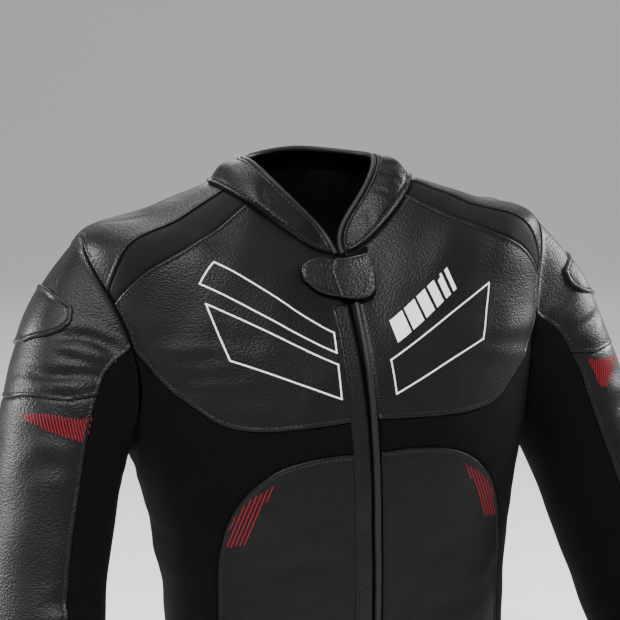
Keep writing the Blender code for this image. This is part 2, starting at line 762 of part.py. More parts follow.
def front_closure(leather, tape, metal, lining):
    tape_outline = strip_outline(-ZIP_HALF, ZIP_HALF, 0, TAPE_TOP)
    panel("zip_tape", TORSO, tape_outline, TAPE_THICK, tape, lift=-TAPE_SUNK)
    facing = strip_outline(-ZIP_HALF - FACING_WIDTH, -ZIP_HALF, 0, STRIP_TOP)
    panel("zip_facing_right", TORSO, facing, STRIP_THICK, leather, lift=STRIP_LIFT + STRIP_THICK)
    levels = np.linspace(1, STRIP_TOP, round(STRIP_TOP / SEAM_SPACING))
    places = np.column_stack([zip_turn(levels, WELT_SIDE), levels])
    path = TORSO.point(places[:, 0], places[:, 1]) + TORSO.normal(places) * WELT_LIFT
    tube("zip_welt_left", path, WELT_RADIUS, leather)
    zip_slider(metal)
    for name, rows in (("throat_tab", TAB_BODY), ("throat_tab_end", TAB_END)):
        outline = seam(TORSO, rows + rows[:1])[:-1]
        panel(name, TORSO, outline, TAB_THICK, leather, lift=TAB_LIFT + TAB_THICK)
    outline = seam(TORSO, UNDERLAY + UNDERLAY[:1])[:-1]
    panel("throat_underlay", TORSO, outline, STRIP_THICK, lining, lift=STRIP_LIFT + STRIP_THICK)


def main():
    for old in list(bpy.data.objects):
        bpy.data.objects.remove(old)
    collection = bpy.data.collections.new(COLLECTION)
    bpy.context.scene.collection.children.link(collection)
    finish = {row[0]: make_material(*row) for row in MATERIALS}
    leather, grey, stretch = finish["black_leather"], finish["grey_leather"], finish["stretch_cloth"]
    for side, mirror in (("left", False), ("right", True)):
        body_panels(leather, grey, stretch, side, mirror)
        sleeve_panels(leather, grey, stretch, side, mirror)
    back_panel(leather)
    collar_pieces(leather, finish["binding_leather"], finish["lining_cloth"])
    front_closure(leather, finish["zip_tape"], finish["zip_metal"], finish["lining_cloth"])


if __name__ == "__main__":
    main()
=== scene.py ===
# %% [markdown]
# # A leather motorcycle jacket
#
# The jacket is worn, but by nobody: it keeps the hollow shape of a wearer. A maker cuts it from
# about thirty pieces of leather and stretch cloth. This lesson dresses each of them: it loads the
# plain solid model as a fixed frame, rebuilds every piece of cloth as a fine shell in the same
# place, and gives each shell its creases, seams, thread and finish.
#
# Everything is in metres once it is a mesh. While it is worked out it is in millimetres, because
# that is how a cutter thinks of it.

# %% Load the frame
import math

import bpy
import numpy as np
from mathutils import Matrix, Vector, geometry


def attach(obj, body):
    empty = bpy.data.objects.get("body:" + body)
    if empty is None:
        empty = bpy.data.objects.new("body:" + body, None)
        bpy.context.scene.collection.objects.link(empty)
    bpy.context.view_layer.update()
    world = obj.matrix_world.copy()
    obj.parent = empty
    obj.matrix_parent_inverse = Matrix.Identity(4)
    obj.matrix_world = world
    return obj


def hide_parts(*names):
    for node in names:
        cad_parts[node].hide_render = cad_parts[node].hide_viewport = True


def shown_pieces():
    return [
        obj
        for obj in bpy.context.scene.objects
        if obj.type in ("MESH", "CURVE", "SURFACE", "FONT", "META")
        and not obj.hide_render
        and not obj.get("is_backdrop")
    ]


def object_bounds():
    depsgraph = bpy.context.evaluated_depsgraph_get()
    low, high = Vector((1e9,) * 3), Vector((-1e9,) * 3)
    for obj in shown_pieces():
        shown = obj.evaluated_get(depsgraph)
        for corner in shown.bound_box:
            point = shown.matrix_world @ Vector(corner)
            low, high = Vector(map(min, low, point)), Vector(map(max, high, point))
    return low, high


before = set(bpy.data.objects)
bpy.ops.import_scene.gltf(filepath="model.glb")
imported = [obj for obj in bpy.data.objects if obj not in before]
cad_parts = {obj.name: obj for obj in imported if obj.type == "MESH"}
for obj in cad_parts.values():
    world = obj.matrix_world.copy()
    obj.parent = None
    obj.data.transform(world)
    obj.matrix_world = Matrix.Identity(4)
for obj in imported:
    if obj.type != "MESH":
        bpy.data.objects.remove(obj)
cad_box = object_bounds()
MM = 0.001
print("pieces in the frame:", len(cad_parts))
print("its box in mm:", [round((high - low) / MM) for low, high in zip(*cad_box)])

# %% [markdown]
# ## The camera
#
# The jacket is seen from in front and a little to the wearer's right, from just above the chest.
# A long lens keeps the two shoulders alike in size. A camera can be aimed with a constraint, but
# here its three axes are worked out and written into its matrix, because then it can also lean by
# the degree or two that a hand-held picture does.

# %% Camera
AZIMUTH, ELEVATION, LEAN = -20.5, 8.0, 1.5
AIM = Vector((-14.0, -28.0, -124.0)) * MM
DISTANCE = 1750.0
PICTURE_SIDE = 620
PIXELS_PER_MM = 1.04
SENSOR = 36.0


def make_camera():
    data = bpy.data.cameras.new("camera")
    data.sensor_width = SENSOR
    data.lens = SENSOR * PIXELS_PER_MM * DISTANCE / PICTURE_SIDE
    turn, rise, lean = (math.radians(angle) for angle in (AZIMUTH, ELEVATION, LEAN))
    back = Vector((math.sin(turn) * math.cos(rise), -math.cos(turn) * math.cos(rise), math.sin(rise)))
    level = Vector((math.cos(turn), math.sin(turn), 0.0))
    up = back.cross(level)
    right = level * math.cos(lean) - up * math.sin(lean)
    up = up * math.cos(lean) + level * math.sin(lean)
    matrix = Matrix((right, up, back)).transposed().to_4x4()
    matrix.translation = AIM + back * DISTANCE * MM
    camera = bpy.data.objects.new("camera", data)
    camera.matrix_world = matrix
    bpy.context.scene.collection.objects.link(camera)
    bpy.context.scene.camera = camera
    return data.lens


print("lens:", round(make_camera(), 1), "mm")

# %% [markdown]
# ## A smooth curve through a short table
#
# Every shape below comes from a table with a few rows. Between rows the values run smoothly, with
# the slope at a row taken from its neighbours. That is a Hermite curve, and it never needs more
# points than the shape has turns.

# %% A curve through table rows
class Curve:
    """A smooth curve through table rows: the first column is the position along it."""

    def __init__(self, rows, closed=None):
        table = np.array(rows, float)
        if closed:
            once_round = np.zeros(table.shape[1])
            once_round[0] = closed
            table = np.vstack([table[-2:] - once_round, table, table[:2] + once_round])
        self.at, self.values = table[:, 0], table[:, 1:]
        steps = np.diff(self.at)[:, None]
        slopes = np.diff(self.values, axis=0) / steps
        inner = (slopes[:-1] * steps[1:] + slopes[1:] * steps[:-1]) / (steps[:-1] + steps[1:])
        self.slopes = np.vstack([slopes[:1], inner, slopes[-1:]])

    def __call__(self, place):
        place = np.clip(np.asarray(place, float), self.at[0], self.at[-1])
        row = np.clip(np.searchsorted(self.at, place, side="right") - 1, 0, len(self.at) - 2)
        step = self.at[row + 1] - self.at[row]
        t = ((place - self.at[row]) / step)[..., None]
        step = step[..., None]
        return (
            (1 + 2 * t) * (1 - t) ** 2 * self.values[row]
            + t * (1 - t) ** 2 * step * self.slopes[row]
            + t**2 * (3 - 2 * t) * self.values[row + 1]
            + t**2 * (t - 1) * step * self.slopes[row + 1]
        )


def fold_height(folds, across, along):
    """How far the cloth stands out in the soft rolls of a table, in mm."""
    height = np.zeros(np.broadcast(across, along).shape)
    for middle, place, run, slope, half_width, crest in folds:
        share = np.clip(1 - ((across - middle) / run) ** 2, 0, 1)
        off = (along - place - slope * (across - middle)) / half_width
        height += crest * share**2 * np.exp(-(off**2))
    return height


# %% [markdown]
# ## The body and the collar
#
# The body is a stack of rounded sections from the hem to the neck. A place on it is a turn in
# degrees, 0 in front and 90 at the wearer's left, and a level in mm of cloth above the hem. The
# collar is a second, short stack. These are the sizes of the solid model, so each shell lies
# exactly where its solid does.

# %% Sections of the body and the collar
TORSO_SECTIONS = (
    # level half_width front back middle z_side z_front z_back square
    (0, 178, 104, 110, -42, -606, -571, -616, 2.3),
    (80, 172, 102, 106, -44, -526, -506, -534, 2.3),
    (170, 168, 101, 102, -44, -436, -428, -438, 2.3),
    (270, 176, 109, 106, -40, -336, -338, -336, 2.35),
    (360, 196, 118, 114, -32, -246, -256, -241, 2.4),
    (430, 212, 118, 122, -22, -174, -192, -166, 2.45),
    (500, 227, 108, 120, -12, -102, -140, -102, 2.5),
    (550, 232, 98, 108, -4, -46, -110, -56, 2.45),
    (610, 165, 84, 90, -2, -22, -83, -23, 2.3),
    (668, 101, 74, 68, 0, 0, -66, 8, 2.1),
)
COLLAR_SECTIONS = (
    # rise half_width front back middle z_side z_front z_back square
    (0, 101, 74, 68, 0, 0, -66, 8, 2.1),
    (20, 88, 65, 60, 2, 16, -56, 22, 2.15),
    (42, 67, 53, 50, 2, 22, -40, 28, 2.2),
)
TORSO_FOLDS = (
    # turn level run slope half_width crest
    (65, 464, 15, -0.2, 13, 2.4),
    (60, 438, 13, -0.9, 12, 1.8),
    (97, 262, 24, 0.35, 15, 2.2),
    (118, 212, 34, 0.25, 17, 3),
    (140, 262, 36, -0.15, 16, 2.4),
    (152, 158, 40, 0.1, 18, 2.6),
)
torso_columns = Curve(TORSO_SECTIONS)
collar_columns = Curve(COLLAR_SECTIONS)


def ring_point(columns, turn, place, stands_out=0.0):
    half_width, front, back, middle, z_side, z_front, z_back, square = np.moveaxis(
        columns(place), -1, 0
    )
    bearing = np.radians(turn)
    sine, cosine = np.sin(bearing), np.cos(bearing)
    depth = np.where(cosine > 0, front, back)
    reach = (np.abs(sine / half_width) ** square + np.abs(cosine / depth) ** square) ** (-1 / square)
    reach += stands_out
    z_middle = np.where(cosine > 0, z_front, z_back)
    z = z_side + (z_middle - z_side) * cosine**2
    return np.stack([reach * sine, middle - reach * cosine, z], axis=-1)


def torso_point(turn, level):
    from_front = np.abs(np.mod(np.asarray(turn) + 180, 360) - 180)
    return ring_point(torso_columns, turn, level, fold_height(TORSO_FOLDS, from_front, level))


def collar_point(turn, rise):
    return ring_point(collar_columns, turn, rise)


print("waist width:", 2 * TORSO_SECTIONS[2][1], "mm; shoulder width:", 2 * TORSO_SECTIONS[7][1], "mm")

# %% [markdown]
# ## The sleeve
#
# The armhole is a closed line on the body. The sleeve starts on that line and, over its first
# 130 mm, melts into a tube of oval sections that bends forward at the elbow. A place on it is a
# clock in degrees round the arm, 0 outward and 90 in front, and a reach in mm down the arm.

# %% Sections of the sleeve
ARMHOLE = (
    # clock turn level
    (0, 90, 555),
    (45, 80, 520),
    (90, 74, 466),
    (135, 77, 408),
    (180, 92, 374),
    (225, 107, 408),
    (270, 112, 468),
    (315, 103, 522),
)
SLEEVE_SECTIONS = (
    # reach x y z out fore tilt lean
    (0, 215, -12, -138, 94, 64, 80, 0),
    (60, 240, -16, -174, 80, 66, 60, 4),
    (130, 261, -26, -228, 65, 66, 36, 9),
    (210, 279, -44, -296, 58, 64, 18, 16),
    (300, 296, -72, -378, 56, 60, 14, 23),
    (370, 303, -106, -442, 53, 56, 9, 32),
    (450, 305, -154, -506, 47, 50, 3, 39),
    (530, 302, -206, -566, 41, 43, -3, 42),
    (590, 298, -246, -610, 38, 40, -6, 42),
)
SLEEVE_FOLDS = (
    # clock reach run slope half_width crest
    (60, 58, 42, -0.9, 12, 2),
    (60, 90, 34, -0.7, 11, 1.6),
    (122, 318, 66, 0.25, 15, 2.4),
    (116, 362, 74, -0.05, 15, 3.2),
    (124, 408, 68, -0.3, 15, 2.6),
    (258, 152, 52, 0.3, 16, 2.2),
    (250, 205, 48, 0.1, 15, 1.8),
    (80, 480, 60, -0.2, 16, 1.6),
)
CAP_FADE = 130.0
armhole_columns = Curve(ARMHOLE, closed=360)
sleeve_columns = Curve(SLEEVE_SECTIONS)


def sleeve_tube(clock, reach):
    x, y, z, out, fore, tilt, lean = np.moveaxis(sleeve_columns(reach), -1, 0)
    tilt, lean, angle = np.radians(tilt), np.radians(lean), np.radians(clock)
    none = np.zeros_like(tilt)
    outward = np.stack([np.cos(tilt), none, np.sin(tilt)], axis=-1)
    forward = np.stack([none, -np.cos(lean), np.sin(lean)], axis=-1)
    forward -= outward * np.sum(outward * forward, axis=-1, keepdims=True)
    stands_out = fold_height(SLEEVE_FOLDS, np.mod(clock, 360), reach)
    out, fore = out + stands_out, fore + stands_out
    return (
        np.stack([x, y, z], axis=-1)
        + (out * np.cos(angle))[..., None] * outward
        + (fore * np.sin(angle))[..., None] * forward
    )


def armhole_place(clock):
    return armhole_columns(np.mod(clock, 360))


def armhole_point(clock):
    place = armhole_place(clock)
    return torso_point(place[..., 0], place[..., 1])


def sleeve_point(clock, reach):
    clock, reach = np.broadcast_arrays(np.asarray(clock, float), np.asarray(reach, float))
    share = np.clip(reach / CAP_FADE, 0, 1)
    fade = (1 - share) ** 2 * (1 + 2 * share)
    shift = armhole_point(clock) - sleeve_tube(clock, np.zeros_like(reach))
    return sleeve_tube(clock, reach) + shift * fade[..., None]


print("cuff:", np.round(sleeve_point(0, 590)).tolist(), "mm")

# %% [markdown]
# ## Surfaces laid flat
#
# A pattern cutter works on a flat table. Each surface can therefore be laid flat: along stays as
# it is, and across becomes the real width of cloth from the panel's middle line. Those widths are
# measured once on a net of short steps over the surface, and read back from it in between.
# Triangles and distances from a seam are worked out flat, in true mm, and then put on the body.

# %% Surfaces
NET_PITCH = 3.0
NET_TURNS = np.arange(-180.0, 451.0, NET_PITCH)
NET_STEP = 8.0


def unit(vectors):
    return vectors / np.linalg.norm(vectors, axis=-1, keepdims=True)


def mirrored(vectors):
    return vectors * np.array([-1.0, 1.0, 1.0])


def run_along(points):
    """How far along its line each point lies."""
    return np.concatenate([[0], np.cumsum(np.linalg.norm(np.diff(points, axis=0), axis=1))])


def read_along(at, run, values):
    """Values given along a line, read at other places on it."""
    return np.stack([np.interp(at, run, column) for column in values.T], axis=1)


class Surface:
    """Points by (across in degrees, along in mm), and the same laid flat."""

    def __init__(self, point, length):
        self.point = point
        self.rows = np.linspace(0, length, round(length / NET_STEP) + 1)
        net = point(NET_TURNS[None, :], self.rows[:, None])
        steps = np.linalg.norm(np.diff(net, axis=1), axis=2)
        self.widths = np.hstack([np.zeros((len(net), 1)), np.cumsum(steps, axis=1)])

    def points(self, places):
        return self.point(places[:, 0], places[:, 1])

    def normal(self, places):
        across, along = places[:, 0], places[:, 1]
        side = self.point(across + 0.5, along) - self.point(across - 0.5, along)
        up = self.point(across, along + 1.0) - self.point(across, along - 1.0)
        return unit(np.cross(side, up))

    def row_widths(self, along):
        """The net's widths at each of these places along, one row of them for each place."""
        at = np.clip(along / self.rows[1], 0, len(self.rows) - 1.001)
        row = at.astype(int)
        share = (at - row)[:, None]
        return self.widths[row] * (1 - share) + self.widths[row + 1] * share

    def width_at(self, widths, across):
        at = np.clip((across - NET_TURNS[0]) / NET_PITCH, 0, len(NET_TURNS) - 1.001)
        column = at.astype(int)
        pick = np.arange(len(widths))
        return widths[pick, column] * (1 - at + column) + widths[pick, column + 1] * (at - column)

    def flat(self, places, middle):
        widths = self.row_widths(places[:, 1])
        width = self.width_at(widths, places[:, 0]) - self.width_at(widths, np.full(len(places), middle))
        return np.stack([width, places[:, 1]], axis=1)

    def place(self, flat, middle):
        widths = self.row_widths(flat[:, 1])
        wanted = flat[:, 0] + self.width_at(widths, np.full(len(flat), middle))
        column = np.clip((widths < wanted[:, None]).sum(axis=1) - 1, 0, len(NET_TURNS) - 2)
        pick = np.arange(len(widths))
        low, high = widths[pick, column], widths[pick, column + 1]
        across = NET_TURNS[0] + NET_PITCH * (column + (wanted - low) / (high - low))
        return np.stack([across, flat[:, 1]], axis=1)


TORSO = Surface(torso_point, TORSO_SECTIONS[-1][0])
COLLAR = Surface(collar_point, COLLAR_SECTIONS[-1][0])
SLEEVE = Surface(sleeve_point, SLEEVE_SECTIONS[-1][0])
chest = TORSO.flat(np.array([[360.0, 430.0]]), 0.0)
print("girth at the chest:", round(chest[0, 0]), "mm")

# %% [markdown]
# ## Seams
#
# A seam is a smooth line on a surface that two panels share. Its points lie 3 mm apart, so that
# both edges follow it closely. At the armhole and the neck a point is shared by two surfaces, and
# the wall there has one direction for both sides, or the edges would gape.

# %% Seam lines
SEAM_SPACING = 3.0
SEAM_GAP = 0.3
ARMHOLE_STEP = 1.5
NECK_STEP = 1.5
ZIP_HALF = 6.5
CHEST_SEAM, BAND_SEAM, NECK_SEAM, STRIP_TOP, TAPE_TOP = 407.0, 375.0, 668.0, 548.0, 662.0
SLEEVE_LENGTH = SLEEVE_SECTIONS[-1][0]
COLLAR_TOP = COLLAR_SECTIONS[-1][0]


def off_armhole(places):
    """Places with no clock, because they aren't on the armhole."""
    return np.column_stack([places, np.full(len(places), np.nan)])


def seam(surface, rows):
    """Rows of (across, along, clock) through table rows; clock is nan off the armhole."""
    rows = np.array(rows, float)
    run = run_along(surface.points(rows))
    count = max(1, round(run[-1] / SEAM_SPACING))
    return off_armhole(Curve(np.column_stack([run, rows]))(np.linspace(0, run[-1], count + 1)))


def armhole_clocks(start, end):
    return np.linspace(start, end, round(abs(end - start) / ARMHOLE_STEP) + 1)


def armhole_seam(start, end):
    clock = armhole_clocks(start, end)
    return np.column_stack([armhole_place(clock), clock])


def cap_seam(start, end):
    clock = armhole_clocks(start, end)
    return np.column_stack([clock, np.zeros_like(clock), clock])


def zip_turn(level, side=ZIP_HALF):
    """The turn at which the front is so many mm to the side of its middle."""
    return np.degrees(np.arcsin(side / torso_columns(level)[..., 1]))


def neck_seam(start, end, along=NECK_SEAM):
    turns = np.arange(NECK_STEP, 360, NECK_STEP)
    edge = zip_turn(NECK_SEAM)
    turns = turns[(turns > edge + 0.5) & (turns < 359.5 - edge)]
    turns = np.concatenate([[edge], turns, [360 - edge]])
    turns = turns[(turns >= start - 0.01) & (turns <= end + 0.01)]
    return off_armhole(np.column_stack([turns, np.full_like(turns, along)]))


def level_line(surface, start, end, along):
    turns = np.linspace(start, end, 9)
    return seam(surface, np.column_stack([turns, np.full_like(turns, along)]))


def zip_line(low, high, side=ZIP_HALF):
    levels = np.linspace(low, high, 12)
    return seam(TORSO, np.column_stack([zip_turn(levels, side), levels]))


def on_armhole(clock):
    return tuple(armhole_place(clock))


def other_side(line):
    return np.column_stack([360 - line[:, 0], line[:, 1:]])


def shifted(line, turn):
    return line + np.array([turn, 0, 0])


# %% Seams of the body
CHEST_CLOCK, INSERT_FRONT_CLOCK, INSERT_BACK_CLOCK = 90, 60, 52.5
YOKE_CLOCK, SIDE_CLOCK = -22.5, 210
INSERT_FRONT_TURN, INSERT_BACK_TURN, YOKE_TURN = 60, 75, 112.5
LOWER_HEM_TURN, SIDE_HEM_TURN = 68, 108

CHEST = seam(TORSO, (
    (zip_turn(CHEST_SEAM), CHEST_SEAM), (13, 405), (31, 400), (44, 397), (54, 401), (61, 416),
    (69, 441), on_armhole(CHEST_CLOCK),
))
BAND = seam(TORSO, (
    (zip_turn(BAND_SEAM), BAND_SEAM), (14, 375), (28, 371), (38, 363), (46, 349), (54, 325),
    (61, 285), (65, 220), (67, 120), (LOWER_HEM_TURN, 0),
))
INSERT_FRONT = seam(TORSO, (
    on_armhole(INSERT_FRONT_CLOCK), (70, 530), (63, 562), (61, 612), (INSERT_FRONT_TURN, NECK_SEAM),
))
INSERT_BACK = seam(TORSO, (
    on_armhole(INSERT_BACK_CLOCK), (75, 536), (73.5, 568), (73, 605), (INSERT_BACK_TURN, NECK_SEAM),
))
YOKE_BACK = seam(TORSO, (
    on_armhole(YOKE_CLOCK), (103, 575), (107, 620), (YOKE_TURN, NECK_SEAM),
))
SIDE = seam(TORSO, (
    (SIDE_HEM_TURN, 0), (107, 130), (106, 250), (104, 340), on_armhole(SIDE_CLOCK),
))

# %% Seams of the sleeve, the collar and the throat
CUFF_FRONT_CLOCK, CUFF_BACK_CLOCK = 100, 228
INNER_BACK_CLOCK = 240
ELBOW_FRONT, ELBOW_BACK = (87, 72), (242, 90)
INNER_FRONT_TOP = seam(SLEEVE, ((CHEST_CLOCK, 0), (85, 22), (83, 44), ELBOW_FRONT))
INNER_FRONT_LOW = seam(SLEEVE, (
    ELBOW_FRONT, (89, 95), (92, 125), (94, 165), (95, 240), (96, 340), (98, 450),
    (CUFF_FRONT_CLOCK, SLEEVE_LENGTH),
))
INNER_BACK_TOP = seam(SLEEVE, ((INNER_BACK_CLOCK, 0), (241, 45), ELBOW_BACK))
INNER_BACK_LOW = seam(SLEEVE, (
    ELBOW_BACK, (242, 160), (238, 260), (234, 370), (230, 480), (CUFF_BACK_CLOCK, SLEEVE_LENGTH),
))
ELBOW = seam(SLEEVE, (
    (ELBOW_BACK[0] - 360, ELBOW_BACK[1]), (-90, 99), (-60, 111), (-25, 122), (10, 123), (38, 114),
    (55, 107), (68, 98), (79, 84), ELBOW_FRONT,
))
PATCH = (
    (41, 32), (46, 42), (43, 55), (35, 67), (12, 84), (-18, 87), (-38, 77), (-46, 60), (-43, 45),
    (-22, 41), (2, 45), (24, 40),
)
COLLAR_TOP_TURN = 36
COLLAR_CORNER = (
    (zip_turn(NECK_SEAM), 0), (5.5, 12), (8, 24), (14, 34), (24, 40), (COLLAR_TOP_TURN, COLLAR_TOP),
)
TAB_BODY = (
    (-7.5, 556), (2, 552), (10, 552), (14.5, 560), (17, 590), (18.5, 634), (8, 643), (-6.5, 641),
    (-11.5, 606),
)
TAB_END = (
    (-5, 640), (-17, 635), (-24, 615), (-28.5, 590), (-27, 570), (-19, 558), (-5, 557), (-5, 600),
)
UNDERLAY = ((3, 600), (17, 600), (19, 640), (20.5, 660), (12, 661), (4, 661))
print("seam points:", sum(len(line) for line in (CHEST, BAND, SIDE, ELBOW, INNER_BACK_LOW)))

# %% [markdown]
# ## Directions of the wall at shared seams
#
# Over the shoulder the body and the sleeve meet in a corner that turns outward, so both walls
# point along its mitre. Under the arm they fold against each other, and each keeps its own.

# %% Wall directions
def neck_wall(turn):
    below = TORSO.normal(np.stack([turn, np.full_like(turn, NECK_SEAM)], axis=1))
    above = COLLAR.normal(np.stack([turn, np.zeros_like(turn)], axis=1))
    return unit(below + above)


def mitre_share(clock):
    return np.clip((np.cos(np.radians(clock)) + 0.1) / 0.4, 0, 1)[:, None]


def armhole_wall(clock, own):
    body = TORSO.normal(armhole_place(clock))
    arm = SLEEVE.normal(np.stack([clock, np.zeros_like(clock)], axis=1))
    share = mitre_share(clock)
    return unit(body + share * arm) if own is TORSO else unit(arm + share * body)


def wall_directions(surface, outline, normals):
    walls = normals.copy()
    on_neck = outline[:, 1] == (0.0 if surface is COLLAR else NECK_SEAM)
    if surface is not SLEEVE and on_neck.any():
        walls[on_neck] = neck_wall(outline[on_neck, 0])
    at_armhole = ~np.isnan(outline[:, 2])
    if at_armhole.any():
        shared = armhole_wall(outline[at_armhole, 2], surface)
        far_side = (outline[at_armhole, 0] > 180) & (surface is TORSO)
        walls[at_armhole] = np.where(far_side[:, None], mirrored(shared), shared)
    return walls


# %% [markdown]
# ## Creases
#
# Worn leather is never even. The largest folds are in the solids already. The smaller creases are
# listed one by one: each row below is one soft trough, or a ridge if its depth is negative, that
# runs from one place to another with a little sag and fades out at both ends. Cloth that is
# pushed down into a trough rises at its sides, so the profile has a low ridge on each side.
#
# A sculptor could push these in with a brush. A table keeps each one a size that can be read and
# changed.

# %% Creases of the body
BODY_CREASES = (
    # turn level turn level sag half_width depth
    # wearer's right chest, from the front of the arm towards the zip
    (-74, 458, -50, 467, 3, 5.5, 0.9),
    (-70, 436, -46, 447, -3, 6, 0.8),
    (-62, 420, -36, 424, -5, 8, 0.5),
    (-62, 484, -34, 493, 5, 8, 0.5),
    (-44, 560, -20, 590, -4, 10, 0.4),
    # wearer's left chest
    (72, 448, 50, 459, 4, 6.5, 0.7),
    (66, 430, 42, 437, -4, 7.5, 0.6),
    (60, 482, 38, 500, -5, 9, 0.4),
    (40, 416, 22, 424, 4, 9, 0.4),
    (46, 560, 24, 582, 4, 10, 0.4),
    # under the arms and down the sides
    (78, 392, 96, 352, 6, 6.5, 1.6),
    (84, 366, 104, 330, 5, 6, 1.2),
    (-79, 390, -95, 350, 6, 6.5, 1.5),
    (-86, 362, -104, 338, 4, 6, 1.2),
    (72, 300, 98, 286, 5, 7, 1.2),
    (-74, 288, -99, 300, 5, 7, 1.3),
    (75, 236, 102, 226, -5, 8, 1.5),
    (-72, 244, -101, 222, -5, 8, 1.4),
    (78, 178, 100, 190, 5, 8, 1.2),
    (-77, 186, -102, 174, 4, 8, 1.3),
    # lower fronts
    (14, 250, 50, 268, -6, 9, 1.1),
    (-16, 268, -54, 252, -6, 9, 1.2),
    (24, 196, 60, 208, -5, 9, 1.3),
    (-12, 205, -48, 186, -6, 9, 1.2),
    (10, 128, 44, 140, -5, 9, 0.9),
    (-20, 138, -58, 128, -5, 9, 1),
    # across the shoulder blades
    (128, 470, 150, 492, 5, 9, 1.3),
    (132, 440, 156, 450, 5, 9, 1.1),
    (-126, 476, -149, 488, 5, 9, 1.2),
    (-134, 436, -155, 452, 4, 9, 1.2),
    # across the small of the back
    (122, 246, 162, 232, -7, 9, 1.7),
    (168, 238, 212, 246, -7, 10, 1.5),
    (-124, 240, -158, 256, -7, 9, 1.6),
    (116, 192, 150, 184, -6, 9, 1.5),
    (160, 196, 204, 186, -6, 10, 1.6),
    (-118, 180, -152, 192, -6, 9, 1.4),
    (138, 136, 176, 128, -6, 10, 1.3),
    (-136, 126, -172, 138, -6, 10, 1.3),
    (140, 300, 174, 310, -6, 10, 1.1),
    (-130, 312, -168, 300, -6, 10, 1.1),
    # yokes
    (84, 600, 92, 572, 2, 6, 0.8),
    (-83, 604, -93, 578, 2, 6, 0.8),
)

# %% Creases of the sleeves and the collar
RIGHT_SLEEVE_CREASES = (
    # clock reach clock reach sag half_width depth
    # below the shoulder patch, from the front of the arm outward
    (83, 20, 38, 68, 5, 5.2, 2.5),
    (83, 40, 44, 76, -3, 3.4, 1.5),
    (86, 44, 22, 99, -15, 4.8, 2.2),
    (60, 62, 26, 80, -2, 2.6, 0.6),
    (48, 96, 0, 110, 4, 5, 1),
    (86, 80, 54, 100, -3, 3.4, 0.9),
    (36, 104, -12, 112, 3, 3.6, 0.6),
    (84, 2, 60, 26, 2, 3, 0.7),
    # outer arm below the elbow seam
    (84, 132, 30, 150, 6, 7, 0.9),
    (92, 160, 40, 184, 7, 8, 0.9),
    # bend of the elbow
    (140, 296, 70, 304, 9, 7, 1.5),
    (160, 322, 62, 336, 10, 7.5, 1.9),
    (168, 352, 58, 350, 9, 8, 2.1),
    (162, 382, 60, 372, -8, 7.5, 1.9),
    (150, 410, 70, 394, -9, 7, 1.5),
    (132, 436, 74, 424, -8, 7, 1.2),
    # back of the arm and the forearm
    (-118, 60, -60, 78, 5, 6, 1.2),
    (-114, 140, -50, 152, 7, 8, 1.3),
    (-122, 178, -62, 196, 7, 8, 1.2),
    (-118, 230, -70, 236, 7, 8, 1),
    (60, 470, 130, 486, -7, 7, 1.2),
    (40, 512, 118, 522, -7, 7, 1.2),
    (-60, 500, 10, 514, -6, 8, 1),
    (70, 552, 140, 546, -5, 7, 1.1),
    (150, 120, 200, 150, 6, 6, 1.2),
    (140, 90, 205, 112, 6, 6, 1.2),
)
LEFT_SLEEVE_CREASES = (
    # clock reach clock reach sag half_width depth
    (84, 14, 48, 54, 4, 5.4, 0.9),
    (84, 34, 44, 68, -3, 4.6, 0.7),
    (86, 50, 30, 86, -8, 5.4, 1),
    (68, 56, 34, 74, -2, 3, 0.3),
    (60, 80, 8, 102, 4, 5.4, 0.6),
    (84, 74, 54, 94, -3, 4, 0.5),
    (34, 104, -10, 106, 3, 3.6, 0.6),
    (84, 0, 62, 22, 2, 3, 0.7),
    (90, 128, 40, 142, 6, 7, 0.9),
    (90, 166, 32, 178, 7, 8, 1),
    (144, 302, 66, 300, 9, 7, 1.6),
    (164, 328, 60, 326, 9, 7.5, 1.8),
    (166, 356, 64, 358, 10, 8, 2.2),
    (158, 384, 56, 380, -9, 7.5, 1.8),
    (146, 414, 72, 402, -8, 7, 1.4),
    (136, 442, 70, 430, -8, 7, 1.2),
    (-116, 66, -56, 74, 5, 6, 1.2),
    (-118, 144, -58, 160, 7, 8, 1.2),
    (-116, 186, -54, 190, 7, 8, 1.2),
    (-120, 226, -66, 242, 7, 8, 1.1),
    (64, 466, 126, 478, -7, 7, 1.2),
    (46, 506, 122, 516, -7, 7, 1.3),
    (-52, 508, 16, 504, -6, 8, 1),
    (66, 548, 136, 556, -5, 7, 1.1),
    (146, 124, 204, 146, 6, 6, 1.2),
    (138, 94, 200, 118, 6, 6, 1.2),
)
COLLAR_CREASES = (
    # turn rise turn rise sag half_width depth
    (64, 6, 60, 39, 0, 3, 1.5),
    (74, 4, 70, 38, 0, 3.4, 1.2),
    (52, 10, 47, 38, 0, 2.6, 1),
    (88, 6, 85, 36, 0, 4, 1),
    (28, 6, 36, 30, 0, 3, 0.8),
    (-26, 6, -38, 28, 0, 3.4, 1),
    (-50, 8, -58, 34, 0, 4, 0.8),
    (-84, 6, -88, 36, 0, 4, 0.9),
    (-14, 6, -22, 18, 0, 2.6, 0.9),
    (120, 8, 124, 36, 0, 4.5, 1),
    (158, 6, 155, 36, 0, 4.5, 0.9),
    (-130, 6, -127, 36, 0, 4.5, 1),
    (-162, 8, -166, 34, 0, 4.5, 0.8),
)
print("creases:", sum(map(len, (BODY_CREASES, RIGHT_SLEEVE_CREASES, LEFT_SLEEVE_CREASES, COLLAR_CREASES))))

# %% Relief of the cloth
CREASE_STEPS = 9
SIDE_RIDGE = (0.45, 1.9, 0.8)
SHARED_FADE = 14.0
WAVE_COUNT = 14
WAVE_HEIGHT = 0.10
WAVE_LENGTHS = (26.0, 85.0)


